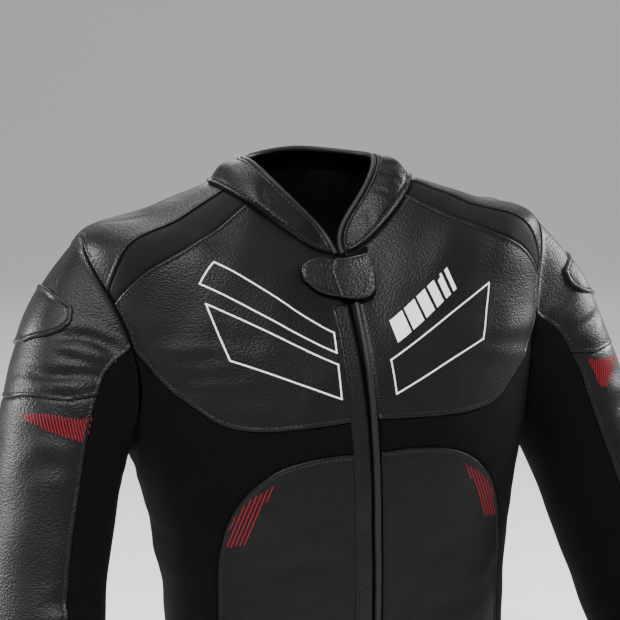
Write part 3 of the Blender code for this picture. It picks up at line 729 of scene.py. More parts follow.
def crease_routes(surface, rows, mirror=False):
    """Each crease as a line of points in space, with its half width and depth."""
    share = np.linspace(0, 1, CREASE_STEPS)
    routes = []
    for start_across, start_along, end_across, end_along, sag, half_width, depth in rows:
        across = start_across + (end_across - start_across) * share
        along = start_along + (end_along - start_along) * share - sag * np.sin(math.pi * share)
        points = surface.point(across, along)
        routes.append((mirrored(points) if mirror else points, half_width, depth))
    return routes


def nearest_on(points, route):
    """Distance to a line of points, the nearest step's number, and its share of the line's length."""
    nearest, share = np.full(len(points), np.inf), np.zeros(len(points))
    number = np.zeros(len(points), int)
    for index, (start, end) in enumerate(zip(route[:-1], route[1:])):
        edge = end - start
        along = np.clip((points - start) @ edge / (edge @ edge), 0, 1)
        distance = np.linalg.norm(points - start - along[:, None] * edge, axis=1)
        closer = distance < nearest
        nearest[closer], number[closer] = distance[closer], index
        share[closer] = (index + along[closer]) / (len(route) - 1)
    return nearest, number, share


def distance_to(points, loop):
    """How far points are from a closed line, and the number of its nearest point."""
    return nearest_on(points, np.vstack([loop, loop[:1]]))[:2]


def hump(away, height, place, width):
    """A soft swelling round a place."""
    return height * np.exp(-(((away - place) / width) ** 2))


def make_waves():
    """Seeded, so that the leather's slight unevenness is the same each time."""
    chance = np.random.default_rng(20)
    directions = unit(chance.normal(size=(WAVE_COUNT, 3)))
    lengths = chance.uniform(*WAVE_LENGTHS, WAVE_COUNT)
    return directions * (2 * math.pi / lengths)[:, None], chance.uniform(0, 2 * math.pi, WAVE_COUNT)


CREASES = {
    "body": crease_routes(TORSO, BODY_CREASES),
    "sleeve_left": crease_routes(SLEEVE, LEFT_SLEEVE_CREASES),
    "sleeve_right": crease_routes(SLEEVE, RIGHT_SLEEVE_CREASES, mirror=True),
    "collar": crease_routes(COLLAR, COLLAR_CREASES),
    "none": [],
}
armhole_ring = armhole_point(np.arange(0, 361, 7.5))
neck_ring = torso_point(np.arange(0, 361, 7.5), NECK_SEAM)
SHARED_RINGS = (armhole_ring, mirrored(armhole_ring), neck_ring)
WAVES, WAVE_PHASES = make_waves()


def relief(points, creases):
    """How far the cloth stands above its surface at points in space, in mm."""
    height = np.zeros(len(points))
    for route, half_width, depth in creases:
        low, high = route.min(0), route.max(0)
        near = np.all(np.abs(points - (low + high) / 2) < (high - low) / 2 + 4 * half_width, axis=1)
        if not near.any():
            continue
        distance, _, share = nearest_on(points[near], route)
        off = distance / half_width
        profile = hump(off, *SIDE_RIDGE) - hump(off, 1, 0, 1)
        height[near] += depth * profile * (1 - (2 * share - 1) ** 2)
    if creases:
        seam_distance = np.min([nearest_on(points, ring)[0] for ring in SHARED_RINGS], axis=0)
        fade = np.clip(seam_distance / SHARED_FADE, 0, 1)
        height *= fade * fade * (3 - 2 * fade)
    return height + WAVE_HEIGHT * np.sin(points @ WAVES.T + WAVE_PHASES).sum(axis=1)


print("deepest crease:", max(row[2] for rows in CREASES.values() for row in rows), "mm")

# %% [markdown]
# ## Cutting a panel
#
# A panel is filled with triangles by a constrained Delaunay triangulation, which keeps the
# outline exactly and can follow any shape. Rows of points run beside the outline, close enough
# together for the rounded edge and the dent that a row of stitches pulls into the leather. The
# rest is an even, staggered grid.

# %% Triangulating an outline
CLOTH_SPACING = 4.2
PLAIN_ROWS = (1.2, 2.6, 4.4)
SEWN_ROWS = (0.8, 1.8, 2.9)
GROOVE_ROWS = (-1.1, 0.0, 1.1, 2.6)
GRID_CLEARANCE = 8.0
GRID_ROW = 0.87
ROW_CLEARANCE, STITCH_CLEARANCE = 0.8, 0.93
LEAST_CLEAR = 0.35
FLAT_MITRE, RIM_MITRE = 0.4, 0.05


def inside(points, loop):
    """Which flat points are inside a closed flat loop."""
    result = np.zeros(len(points), bool)
    for start, end in zip(loop, np.roll(loop, -1, axis=0)):
        crosses = (start[1] > points[:, 1]) != (end[1] > points[:, 1])
        rise = end[1] - start[1]
        at = start[0] + (points[:, 1] - start[1]) * (end[0] - start[0]) / (rise if rise else 1.0)
        result ^= crosses & (points[:, 0] < at)
    return result


def unbroken(keep):
    """The numbers of the places to keep, in runs without a gap."""
    numbers = np.nonzero(keep)[0]
    return np.split(numbers, np.nonzero(np.diff(numbers) > 1)[0] + 1)


def way_on(loop):
    return unit(np.roll(loop, -1, axis=0) - loop)


def mitre(left, least):
    """At each point of a closed line, the way that leads in from both of its edges at once."""
    before = np.roll(left, 1, axis=0)
    return (left + before) / np.maximum(1 + np.sum(left * before, axis=1), least)[:, None]


def laid_flat(surface, outline):
    """An outline's middle and its flat loop, the way in at each point, and the rim in space."""
    middle = outline[:, 0].mean()
    loop = surface.flat(outline[:, :2], middle)
    ahead = way_on(loop)
    way = mitre(np.stack([-ahead[:, 1], ahead[:, 0]], axis=1), FLAT_MITRE)
    moved, still = (surface.points(surface.place(flat, middle)) for flat in (loop + way, loop))
    step, edge = moved - still, way_on(still)
    clear = np.min([
        np.linalg.norm(step - np.sum(step * line, axis=1)[:, None] * line, axis=1)
        for line in (edge, np.roll(edge, 1, axis=0))
    ], axis=0)
    way = way / np.maximum(clear, np.linalg.norm(step, axis=1) * LEAST_CLEAR)[:, None]
    return middle, loop, way, surface.points(outline[:, :2])


def edge_rows(surface, middle, loop, way, rim, stitch_rows):
    """Flat points in rows beside the outline, each kept only where it is clear of other edges."""
    sewn = ~np.isnan(stitch_rows[:, 0])
    rows = [(~sewn, away) for away in PLAIN_ROWS] + [(sewn, away) for away in SEWN_ROWS]
    rows += [(~np.isnan(column), column + step) for column in stitch_rows.T for step in GROOVE_ROWS]
    rows = [(has, np.broadcast_to(away, len(loop))[has]) for has, away in rows]
    points = np.vstack([loop[has] + way[has] * away[:, None] for has, away in rows])
    wanted = np.concatenate([away for _, away in rows])
    keep = inside(points, loop)
    points, wanted = points[keep], wanted[keep]
    distance = distance_to(surface.points(surface.place(points, middle)), rim)[0]
    return points[distance > wanted * ROW_CLEARANCE]


def grid_points(loop, spacing):
    low, high = loop.min(axis=0), loop.max(axis=0)
    grid = []
    for row, y in enumerate(np.arange(low[1] + spacing * 0.5, high[1], spacing * GRID_ROW)):
        x = np.arange(low[0] + (row % 2) * spacing / 2, high[0], spacing)
        grid.append(np.column_stack([x, np.full_like(x, y)]))
    grid = np.vstack(grid)
    grid = grid[inside(grid, loop)]
    return grid[distance_to(grid, loop)[0] > GRID_CLEARANCE]


def triangulate(surface, outline, spacing):
    """Places, triangles, distance from the outline, its nearest point's number, and flat places."""
    middle, loop, way, rim = laid_flat(surface, outline)
    rows = edge_rows(surface, middle, loop, way, rim, outline[:, 3:])
    flat = np.vstack([loop, rows, grid_points(loop, spacing)])
    border = len(loop)
    edges = [(i, (i + 1) % border) for i in range(border)]
    found = geometry.delaunay_2d_cdt([tuple(p) for p in flat], edges, [], 0, 1e-6, True)
    order = np.array([sources[0] if len(sources) else -1 for sources in found[3]])
    if (order < 0).any():
        raise RuntimeError("a panel's outline crosses itself")
    triangles = order[np.array(found[2])]
    triangles = triangles[inside(flat[triangles].mean(axis=1), loop)]
    places = surface.place(flat, middle)
    places[:border] = outline[:, :2]
    away, number = distance_to(surface.points(places), rim)
    away[:border] = 0
    return places, triangles, away, number, flat


# %% [markdown]
# ## From places to cloth
#
# The edge that is topstitched laps over its neighbour, so it stands a little higher and drops
# off sharply. The neighbour's edge tucks under it. The thread pulls a dent along its row. Both
# faces of the wall follow the creases, so the cloth keeps its thickness.

# %% Cloth meshes
LEATHER, STRETCH, LINING = 2.4, 1.8, 1.4
NO_STITCHES, TOPSTITCH, HEM = (), (4,), (3.6, 14)
LAP_HEIGHT, LAP_WIDTH = 0.8, 4.6
LAP_DROP, TUCK = (0.9, 0, 0.8), (1.1, 0, 2)
GROOVE_DEPTH, GROOVE_WIDTH = 0.55, 1.2


SHARP_ANGLE = math.radians(50)
EDGE_SHINE = 5


def joined(parts):
    """One closed outline from (seam, stitch rows) that each start where the last one ends."""
    rows = []
    for line, stitches in parts:
        columns = np.full((len(line) - 1, 2), np.nan)
        columns[:, :len(stitches)] = stitches
        rows.append(np.column_stack([line[:-1], columns]))
    return np.vstack(rows)


def edge_height(away, stitch_rows):
    sewn = ~np.isnan(stitch_rows[:, 0])
    lapped = LAP_HEIGHT * np.exp(-((away / LAP_WIDTH) ** 4))
    height = np.where(sewn, lapped - hump(away, *LAP_DROP), -hump(away, *TUCK))
    for column in stitch_rows.T:
        height -= np.nan_to_num(hump(away, GROOVE_DEPTH, column, GROOVE_WIDTH))
    return height


def add_mesh(name, points, faces, material, attributes=()):
    """A mesh object in metres from points in mm, with its named point attributes."""
    mesh = bpy.data.meshes.new(name)
    mesh.from_pydata(points * MM, [], faces)
    mesh.materials.append(material)
    for attribute, values in attributes:
        kind = "FLOAT_VECTOR" if values.ndim == 2 else "FLOAT"
        layer = mesh.attributes.new(attribute, kind, "POINT")
        layer.data.foreach_set("vector" if values.ndim == 2 else "value", values.astype(np.float32).ravel())
    mesh.shade_smooth()
    mesh.set_sharp_from_angle(angle=SHARP_ANGLE)
    piece = bpy.data.objects.new(name, mesh)
    bpy.context.scene.collection.objects.link(piece)
    return piece


def wall_mesh(name, outer, inner, triangles, border, material, mirror, attributes):
    """A closed wall: the outer and inner faces, and a rim along the border's points."""
    count = len(outer)
    points = np.vstack([outer, inner])
    ring = np.arange(border)
    after = np.roll(ring, -1)
    faces = np.vstack([
        triangles,
        triangles[:, ::-1] + count,
        np.column_stack([after, ring, ring + count]),
        np.column_stack([after, ring + count, after + count]),
    ])
    if mirror:
        points, faces = mirrored(points), faces[:, ::-1]
    doubled = [(key, np.concatenate([values, values])) for key, values in attributes]
    return add_mesh(name, points, faces, material, doubled)


def dressed(piece, slot, *nodes):
    """The piece rides on the jacket and stands for its solids, which it hides; its slot is not used."""
    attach(piece, "root")
    if nodes:
        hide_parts(*nodes)
    return piece


def cloth_area(points, triangles):
    a, b, c = (points[triangles[:, corner]] for corner in range(3))
    return np.linalg.norm(np.cross(b - a, c - a), axis=1).sum() / 2


def declare_sheet(piece, flat, points, triangles):
    """The cut of the piece: the width and length of its flat shape, and its cloth's area."""
    width, length = flat.max(axis=0) - flat.min(axis=0)
    area = cloth_area(points, triangles)
    length *= area / cloth_area(np.column_stack([flat, np.zeros(len(flat))]), triangles)
    print(f"{piece.name}: {width:.0f} by {length:.0f} mm, {area / 100:.0f} cm2")


# %% [markdown]
# ## Thread
#
# A topstitch is a row of short stitches, each a little sunk at its ends where the needle went
# through. There are thousands, so one stitch is made as points, and arrays place all of a row's
# copies at once. They end up in a few joined meshes.

# %% Stitches
STITCH_PITCH = 4.4
STITCH_LENGTH = 3.1
STITCH_RADIUS = 0.55
STITCH_LIFT = 0.2
STITCH_SINK = 0.45
STITCH_SIDES = 5
stitch_rows = {}


def resample(points, pitch):
    """Points at an even pitch along a line, and the way it runs there."""
    run = run_along(points)
    count = max(1, int(run[-1] / pitch))
    at = (np.arange(count) + 0.5) * run[-1] / count
    pick = read_along(at, run, points)
    return at / run[-1], pick, unit(read_along(at + 0.3, run, points) - pick + 1e-9)


def ring_faces(count, ring):
    """Triangles that join rings of points, each to the next."""
    first = np.arange(count - 1)[:, None] * ring
    a, b = ((first + (np.arange(ring) + step) % ring).ravel() for step in (0, 1))
    return np.vstack([np.column_stack([a, a + ring, b]), np.column_stack([b, a + ring, b + ring])])


def one_stitch():
    """Points and triangles of a stitch that lies along X, with +Z out of the leather."""
    stations = np.array([(-0.5, 0.35), (-0.28, 0.95), (0.28, 0.95), (0.5, 0.35)])
    angle = np.arange(STITCH_SIDES) * 2 * math.pi / STITCH_SIDES
    points = [
        (share * STITCH_LENGTH, size * STITCH_RADIUS * math.sin(a),
         size * STITCH_RADIUS * math.cos(a) - STITCH_SINK * (2 * share) ** 2)
        for share, size in stations for a in angle
    ]
    last = (len(stations) - 1) * STITCH_SIDES
    ends = [
        face for i in range(1, STITCH_SIDES - 1)
        for face in ((0, i, i + 1), (last, last + i + 1, last + i))
    ]
    return np.array(points), np.vstack([ring_faces(len(stations), STITCH_SIDES), ends])


def copies(shape, faces, places, ahead, out):
    """Joined copies of a shape, each turned so that +X runs ahead and +Z points out."""
    side = unit(np.cross(out, ahead))
    out = np.cross(ahead, side)
    turned = sum(shape[None, :, axis, None] * way[:, None] for axis, way in enumerate((ahead, side, out)))
    turned += places[:, None]
    all_faces = faces[None] + (np.arange(len(places)) * len(shape))[:, None, None]
    return turned.reshape(-1, 3), all_faces.reshape(-1, 3)


def sew(key, points, normals):
    """Adds a row of stitches along points that lie on the leather."""
    at, places, ahead = resample(points, STITCH_PITCH)
    out = unit(read_along(at, np.linspace(0, 1, len(normals)), normals))
    stitch_rows.setdefault(key, []).append((places + out * STITCH_LIFT, ahead, out))


def make_stitches(key, material):
    rows = stitch_rows.pop(key)
    places, ahead, out = (np.vstack([row[column] for row in rows]) for column in range(3))
    points, faces = copies(*one_stitch(), places, ahead, out)
    piece = add_mesh("stitches_" + key, points, faces, material)
    print(piece.name, len(places), "stitches,", len(faces), "triangles")
    return dressed(piece, "black_leather")


# %% [markdown]
# ## One function for every panel
#
# With all that, a panel is one call: the surface it lies on, its outline with the rows of
# stitches along each seam, and how thick it is. A tab or a strip that lies on another panel is
# the same, lifted.

# %% Panels
def skin(surface, places, side, creases, lift=0.0):
    """Points on the outer face of the cloth on one side, and the directions out of it."""
    points, normals = surface.points(places), surface.normal(places)
    turn = mirrored if side == "right" else np.array
    height = relief(turn(points), CREASES[creases])
    return turn(points + normals * (height + lift)[:, None]), turn(normals)


def stitch_paths(surface, outline, parts):
    """Places along each row of stitches, inside the panel and clear of its corners."""
    middle, loop, way, rim = laid_flat(surface, outline)
    first = 0
    for line, stitches in parts:
        numbers = np.arange(first, first + len(line)) % len(outline)
        first += len(line) - 1
        for away in stitches:
            row = surface.place((loop + way * away)[numbers[1:-1]], middle)
            keep = inside(surface.flat(row, middle), loop)
            keep &= distance_to(surface.points(row), rim)[0] > away * STITCH_CLEARANCE
            for run in unbroken(keep):
                if len(run) > 3:
                    yield row[run]


def panel(name, surface, parts, wall, material, slot, creases="none", sewing=None,
          sides=("left", "right"), lift=0.0, spacing=CLOTH_SPACING, extra=None):
    """The cloth of one node, or of a left and a right one, and its rows of stitches.

    A part is a seam with its rows of stitches, or a seam alone where nothing is topstitched.
    """
    parts = [part if isinstance(part, tuple) else (part, NO_STITCHES) for part in parts]
    outline = joined(parts)
    places, triangles, away, number, flat = triangulate(surface, outline, spacing)
    normals = surface.normal(places)
    walls = normals.copy()
    border = len(outline)
    walls[:border] = wall_directions(surface, outline, normals[:border])
    base = surface.points(places)
    shrink = mitre(np.cross(normals[:border], way_on(base[:border])), RIM_MITRE)
    shrink -= normals[:border] * (1 - mitre_share(np.nan_to_num(outline[:, 2])))
    base[:border] += shrink * SEAM_GAP / 2
    edge = edge_height(away, outline[number, 3:])
    if extra is not None:
        edge = edge + extra(places, away, flat)
    pattern = np.column_stack([flat, np.zeros(len(flat))])
    attributes = [("cloth", pattern), ("seam", np.exp(-away / EDGE_SHINE))]
    for side in sides:
        mirror = side == "right"
        key = creases + "_" + side if creases == "sleeve" else creases
        height = relief(mirrored(base) if mirror else base, CREASES[key])
        outer = base + walls * (lift + height + edge)[:, None]
        inner = base + walls * (lift + height - wall)[:, None]
        node = name + "_" + side if side else name
        piece = wall_mesh(node + "_cloth", outer, inner, triangles, border, material, mirror, attributes)
        dressed(piece, slot, node)
        declare_sheet(piece, flat, base, triangles)
        if sewing:
            for row in stitch_paths(surface, outline, parts):
                sunk = lift - GROOVE_DEPTH + LAP_HEIGHT * 0.6
                sew(sewing + "_" + side if side else sewing, *skin(surface, row, side, key, sunk))


# %% [markdown]
# ## Finishes
#
# The leather is black cowhide with a pebble grain: small rounded cells with fine valleys, a satin
# shine that varies over the hide, and slightly more polish where edges stand proud. Voronoi cells
# give the pebbles and noise the variation, both in mm of real size, so no picture is needed.

# %% Node helpers
class Nodes:
    """A material's nodes, added and linked in one line each."""

    def __init__(self, name, colour, roughness, metallic=0.0):
        self.material = bpy.data.materials.new(name)
        self.material.use_nodes = True
        self.tree = self.material.node_tree
        self.shader = self.tree.nodes["Principled BSDF"]
        self.set(self.shader, {"Base Color": (*colour, 1.0), "Roughness": roughness, "Metallic": metallic})

    def set(self, node, values):
        for socket, value in values.items():
            if isinstance(value, bpy.types.NodeSocket):
                self.tree.links.new(value, node.inputs[socket])
            else:
                node.inputs[socket].default_value = value

    def add(self, kind, values=None, output=0, **settings):
        node = self.tree.nodes.new(kind)
        for setting, value in settings.items():
            setattr(node, setting, value)
        self.set(node, values or {})
        return node.outputs[output]

    def math(self, operation, first, second=0.0):
        return self.add("ShaderNodeMath", {0: first, 1: second}, operation=operation)

    def millimetres(self):
        """The place in space, in mm."""
        return self.scaled(self.add("ShaderNodeTexCoord", output="Object"), 1 / MM)

    def scaled(self, vector, scale):
        return self.add("ShaderNodeVectorMath", {0: vector, "Scale": scale}, operation="SCALE")

    def noise(self, vector, size, detail=2.0):
        return self.add("ShaderNodeTexNoise", {"Vector": vector, "Scale": 1 / size, "Detail": detail})

    def spread(self, value, low, high):
        """A value from 0 to 1 spread over another range."""
        return self.add("ShaderNodeMapRange", {"Value": value, "To Min": low, "To Max": high})

    def on_pattern(self):
        """The place on the piece's flat pattern: mm across, and mm along."""
        flat = self.add("ShaderNodeAttribute", output="Vector", attribute_name="cloth")
        across = self.add("ShaderNodeSeparateXYZ", {0: flat})
        return across, across.node.outputs[1]

    def mixed(self, share, first, second):
        """Two colours mixed; each is three numbers or another node's colour."""
        first, second = ((*end, 1.0) if isinstance(end, tuple) else end for end in (first, second))
        return self.add("ShaderNodeMix", {"Factor": share, 6: first, 7: second}, 2, data_type="RGBA")

    def bump(self, height, depth, under=None):
        values = {"Height": height, "Distance": depth * MM, "Strength": 1.0}
        if under is not None:
            values["Normal"] = under
        return self.add("ShaderNodeBump", values)

    def finish(self, **sockets):
        self.set(self.shader, {key.replace("_", " "): value for key, value in sockets.items()})
        return self.material


# %% Leather
PEBBLE = 1.65
PEBBLE_WIDE = 1.3
PEBBLE_WARP, WARP_SIZE = 0.7, 3.0
PEBBLE_SMOOTH = 0.35
PEBBLE_DEPTH = 0.34
HIDE_SIZE = 42.0
SPECULAR = 0.21
HAIRLINE_DEPTH, HAIRLINE_SIZE = 0.03, 0.7
VALLEY_ROUGHNESS = 0.16
EDGE_POLISH = 0.10


def leather(name, dark, light, roughness, pebble=PEBBLE, depth=PEBBLE_DEPTH, specular=SPECULAR,
            holes=False):
    nodes = Nodes(name, dark, roughness)
    place = nodes.millimetres()
    warp = nodes.scaled(nodes.noise(place, WARP_SIZE), PEBBLE_WARP)
    warped = nodes.add("ShaderNodeVectorMath", {0: place, 1: warp}, operation="ADD")
    widened = (1 / PEBBLE_WIDE, 1 / PEBBLE_WIDE, 1.0)
    flattened = nodes.add("ShaderNodeVectorMath", {0: warped, 1: widened}, operation="MULTIPLY")
    cells = nodes.add("ShaderNodeTexVoronoi", {
        "Vector": flattened, "Scale": 1 / pebble, "Smoothness": PEBBLE_SMOOTH,
    }, feature="SMOOTH_F1")
    domes = nodes.math("SUBTRACT", 1.0, cells)
    hide = nodes.noise(place, HIDE_SIZE, 3.0)
    fine = nodes.noise(place, HAIRLINE_SIZE)
    height = nodes.bump(domes, depth, nodes.bump(fine, HAIRLINE_DEPTH))
    shine = nodes.math("ADD", nodes.spread(hide, roughness - 0.12, roughness + 0.04),
                       nodes.math("MULTIPLY", cells, VALLEY_ROUGHNESS))
    edge = nodes.add("ShaderNodeAttribute", output="Fac", attribute_name="seam")
    shine = nodes.math("SUBTRACT", shine, nodes.math("MULTIPLY", edge, EDGE_POLISH))
    colour = nodes.mixed(hide, dark, light)
    if holes:
        height, colour = perforated(nodes, height, colour)
    return nodes.finish(Base_Color=colour, Roughness=shine, Normal=height, Specular_IOR_Level=specular)


# %% [markdown]
# The lower fronts are perforated, so that the wearer's body can breathe: round holes in staggered
# rows. The holes are far too many to cut. A grid is laid over the flat pattern of the panel, kept
# with the mesh as the attribute "cloth", so the rows follow the cut and not the room.

# %% Perforation
HOLE_PITCH = 3.2
ROW_PITCH = HOLE_PITCH * 0.866
HOLE_RADIUS = 0.5
HOLE_EDGE = (0.75, 1.25)
HOLE_DEPTH = 0.6
HOLE_COLOUR = (0.002, 0.002, 0.002)


def perforated(nodes, normal, colour):
    """The dents and the colour of a leather with holes punched in it."""
    across, along = nodes.on_pattern()
    row = nodes.math("DIVIDE", along, ROW_PITCH)
    odd = nodes.math("MULTIPLY", nodes.math("MODULO", nodes.math("FLOOR", row), 2.0), 0.5)
    column = nodes.math("ADD", nodes.math("DIVIDE", across, HOLE_PITCH), odd)
    squares = []
    for cell, pitch in ((column, HOLE_PITCH), (row, ROW_PITCH)):
        off = nodes.math("MULTIPLY", nodes.math("SUBTRACT", nodes.math("FRACT", cell), 0.5), pitch)
        squares.append(nodes.math("MULTIPLY", off, off))
    low, high = (HOLE_RADIUS * share for share in HOLE_EDGE)
    edge = nodes.add("ShaderNodeMapRange", {
        "Value": nodes.math("SQRT", nodes.math("ADD", *squares)), "From Min": low, "From Max": high,
    }, interpolation_type="SMOOTHSTEP")
    return nodes.bump(edge, HOLE_DEPTH, normal), nodes.mixed(edge, HOLE_COLOUR, colour)


# %% [markdown]
# Stretch cloth, the lining and the zip's tape are woven. Two sines over the flat pattern make the
# threads, and a little sheen lights the nap at grazing angles.

# %% Woven cloth
NAP_SIZE, SHADE_SIZE = 0.5, 30.0
DARK_SHARE, LIGHT_SHARE = 0.8, 1.3


def woven(name, colour, pitch, depth, sheen, roughness=0.9):
    nodes = Nodes(name, colour, roughness)
    threads = (
        nodes.math("SINE", nodes.math("MULTIPLY", way, 2 * math.pi / pitch)) for way in nodes.on_pattern()
    )
    weave = nodes.math("MULTIPLY", *threads)
    nap = nodes.noise(nodes.millimetres(), NAP_SIZE)
    normal = nodes.bump(weave, depth, nodes.bump(nap, depth / 2))
    ends = (tuple(c * share for c in colour) for share in (DARK_SHARE, LIGHT_SHARE))
    tint = nodes.mixed(nodes.noise(nodes.millimetres(), SHADE_SIZE), *ends)
    return nodes.finish(Base_Color=tint, Normal=normal, Sheen_Weight=sheen, Sheen_Roughness=0.4,
                        Specular_IOR_Level=0.1)


def plain(name, colour, roughness, metallic=0.0, grain=0.4, depth=0.05, specular=0.5):
    """Thread, print and metal: one colour, broken up by a fine grain."""
    nodes = Nodes(name, colour, roughness, metallic)
    fine = nodes.noise(nodes.millimetres(), grain)
    shine = nodes.spread(fine, roughness - 0.06, roughness + 0.08)
    return nodes.finish(Roughness=shine, Normal=nodes.bump(fine, depth), Specular_IOR_Level=specular)


BLACK_LEATHER = leather("black_pebble_leather", (0.0030, 0.0031, 0.0035), (0.0055, 0.0057, 0.0063), 0.42)
PERFORATED = leather("perforated_leather", (0.0026, 0.0027, 0.0030), (0.0045, 0.0047, 0.0052), 0.50,
                     holes=True)
GREY_LEATHER = leather("fine_charcoal_leather", (0.0050, 0.0053, 0.0060), (0.0080, 0.0084, 0.0094), 0.42,
                       pebble=2.0, depth=0.22)
INSERT_LEATHER = leather("matt_charcoal_leather", (0.0032, 0.0034, 0.0038), (0.0050, 0.0052, 0.0058), 0.66,
                         pebble=1.2, depth=0.08, specular=0.10)
# Lighter than the black leather: a painted highlight along the zip's welt, which is black leather, and
# along the collar's binding, which shares these colours.
PAINTED_HIGHLIGHT_LEATHER = leather("binding_leather", (0.0110, 0.0116, 0.0130), (0.0170, 0.0178, 0.0200), 0.42,
                          pebble=1.2, depth=0.07)
# The tab and its end are the same black leather as the front; these lighter colours are a painted
# highlight, the light that the tab catches.
TAB_PAINTED_HIGHLIGHT_COLOURS = (0.0050, 0.0051, 0.0055), (0.0095, 0.0097, 0.0104)
TAB_PAINTED_HIGHLIGHT_LEATHER = leather("tab_leather_painted_highlight", *TAB_PAINTED_HIGHLIGHT_COLOURS, 0.38, depth=0.5, specular=0.34)
WRINKLED_PAINTED_HIGHLIGHT_LEATHER = leather("wrinkled_leather_painted_highlight", *TAB_PAINTED_HIGHLIGHT_COLOURS, 0.36, pebble=2.6, depth=0.6, specular=0.34)
STRETCH_CLOTH = woven("stretch_cloth", (0.0020, 0.0020, 0.0022), 1.7, 0.22, 0.012)
LINING_CLOTH = woven("lining_mesh", (0.0018, 0.0018, 0.0020), 2.4, 0.4, 0.01)
ZIP_TAPE = woven("zip_tape_weave", (0.003, 0.003, 0.0033), 1.0, 0.18, 0.02, 0.85)
THREAD = plain("black_thread", (0.010, 0.0104, 0.0115), 0.52, specular=0.32)
ZIP_METAL = plain("black_lacquered_metal", (0.02, 0.02, 0.022), 0.3, 0.85, grain=1.5, depth=0.01)
WHITE_PRINT = plain("white_print", (0.92, 0.92, 0.92), 0.5, specular=0.3)
RED_PRINT = plain("red_print", (0.26, 0.005, 0.011), 0.5, specular=0.2)
print("materials:", len(bpy.data.materials))

# %% [markdown]
# ## The fronts, the shoulders and the back
#
# Each front runs from the chest seam to the collar. A charcoal strip and a yoke cover the
# shoulder. One piece of stretch cloth makes the band under the chest and the side of the body.
# The back is a single plain panel. The topstitching lies on the leather side of each seam.

# %% Panels of the body
COWHIDE = (LEATHER, BLACK_LEATHER, "black_leather")
STRETCHY = (STRETCH, STRETCH_CLOTH, "stretch_cloth")


def body_panels():
    panel("front", TORSO, (
        (CHEST, TOPSTITCH),
        (armhole_seam(CHEST_CLOCK, INSERT_FRONT_CLOCK), TOPSTITCH),
        (INSERT_FRONT, TOPSTITCH),
        neck_seam(zip_turn(NECK_SEAM), INSERT_FRONT_TURN)[::-1],
        zip_line(CHEST_SEAM, NECK_SEAM)[::-1],
    ), *COWHIDE, creases="body", sewing="front", spacing=3.6)
    panel("shoulder_insert", TORSO, (
        armhole_seam(INSERT_FRONT_CLOCK, INSERT_BACK_CLOCK),
        INSERT_BACK,
        neck_seam(INSERT_FRONT_TURN, INSERT_BACK_TURN)[::-1],
        INSERT_FRONT[::-1],
    ), LEATHER, INSERT_LEATHER, "grey_leather", creases="body", spacing=3.6)
    panel("yoke", TORSO, (
        (armhole_seam(INSERT_BACK_CLOCK, YOKE_CLOCK), TOPSTITCH),
        (YOKE_BACK, TOPSTITCH),
        neck_seam(INSERT_BACK_TURN, YOKE_TURN)[::-1],
        (INSERT_BACK[::-1], TOPSTITCH),
    ), *COWHIDE, creases="body", sewing="front", spacing=3.6)
    panel("stretch", TORSO, (
        (level_line(TORSO, LOWER_HEM_TURN, SIDE_HEM_TURN, 0), HEM),
        SIDE,
        armhole_seam(SIDE_CLOCK, CHEST_CLOCK),
        CHEST[::-1],
        zip_line(BAND_SEAM, CHEST_SEAM)[::-1],
        BAND,
    ), *STRETCHY, creases="body", sewing="hem")
    panel("lower_front", TORSO, (
        (level_line(TORSO, zip_turn(0.0), LOWER_HEM_TURN, 0), HEM),
        (BAND[::-1], TOPSTITCH),
        zip_line(0, BAND_SEAM)[::-1],
    ), LEATHER, PERFORATED, "black_leather", creases="body", sewing="hem")


def back_panel():
    half = (
        (YOKE_BACK[::-1], NO_STITCHES),
        (armhole_seam(YOKE_CLOCK, SIDE_CLOCK - 360), TOPSTITCH),
        (SIDE[::-1], TOPSTITCH),
    )
    far_half = [(other_side(line)[::-1], stitches) for line, stitches in reversed(half)]
    panel("back", TORSO, (
        (level_line(TORSO, SIDE_HEM_TURN, 360 - SIDE_HEM_TURN, 0), HEM),
        *far_half,
        neck_seam(YOKE_TURN, 360 - YOKE_TURN)[::-1],
        *half,
    ), *COWHIDE, sides=("",), creases="body", sewing="back", spacing=5.0)


body_panels()
back_panel()

# %% [markdown]
# ## The sleeves
#
# The upper sleeve is leather, with a raised patch over the shoulder. Below the elbow seam the
# outer half is leather and the inner half is stretch cloth, so that the arm can bend.

# %% Panels of the sleeves
CAP_ROLL = (1.5, 2.2, 1.5)
CAP_REACH = 12


def cap_form(places, away, flat):
    """The seam allowance is turned into the sleeve, and stands up beside the armhole as a roll."""
    return np.where(places[:, 1] < CAP_REACH, hump(away, *CAP_ROLL), 0.0)


def sleeve_panels():
    panel("sleeve_upper", SLEEVE, (
        cap_seam(INNER_BACK_CLOCK - 360, CHEST_CLOCK),
        (INNER_FRONT_TOP, TOPSTITCH),
        (ELBOW[::-1], TOPSTITCH),
        (shifted(INNER_BACK_TOP, -360)[::-1], TOPSTITCH),
    ), *COWHIDE, creases="sleeve", sewing="sleeve", spacing=3.6, extra=cap_form)
    panel("sleeve_lower", SLEEVE, (
        ELBOW,
        (INNER_FRONT_LOW, TOPSTITCH),
        (level_line(SLEEVE, CUFF_FRONT_CLOCK, CUFF_BACK_CLOCK - 360, SLEEVE_LENGTH), HEM),
        (shifted(INNER_BACK_LOW, -360)[::-1], TOPSTITCH),
    ), *COWHIDE, creases="sleeve", sewing="sleeve")
    panel("sleeve_inner", SLEEVE, (
        cap_seam(CHEST_CLOCK, INNER_BACK_CLOCK),
        INNER_BACK_TOP,
        INNER_BACK_LOW,
        (level_line(SLEEVE, CUFF_BACK_CLOCK, CUFF_FRONT_CLOCK, SLEEVE_LENGTH), HEM),
        INNER_FRONT_LOW[::-1],
        INNER_FRONT_TOP[::-1],
    ), *STRETCHY, creases="sleeve", sewing="sleeve")


sleeve_panels()

# %% [markdown]
# The shoulder patch is a thick piece of finer grain with a rolled edge. It is made from the
# sleeve's own surface, moved out, and swells a little in its middle.

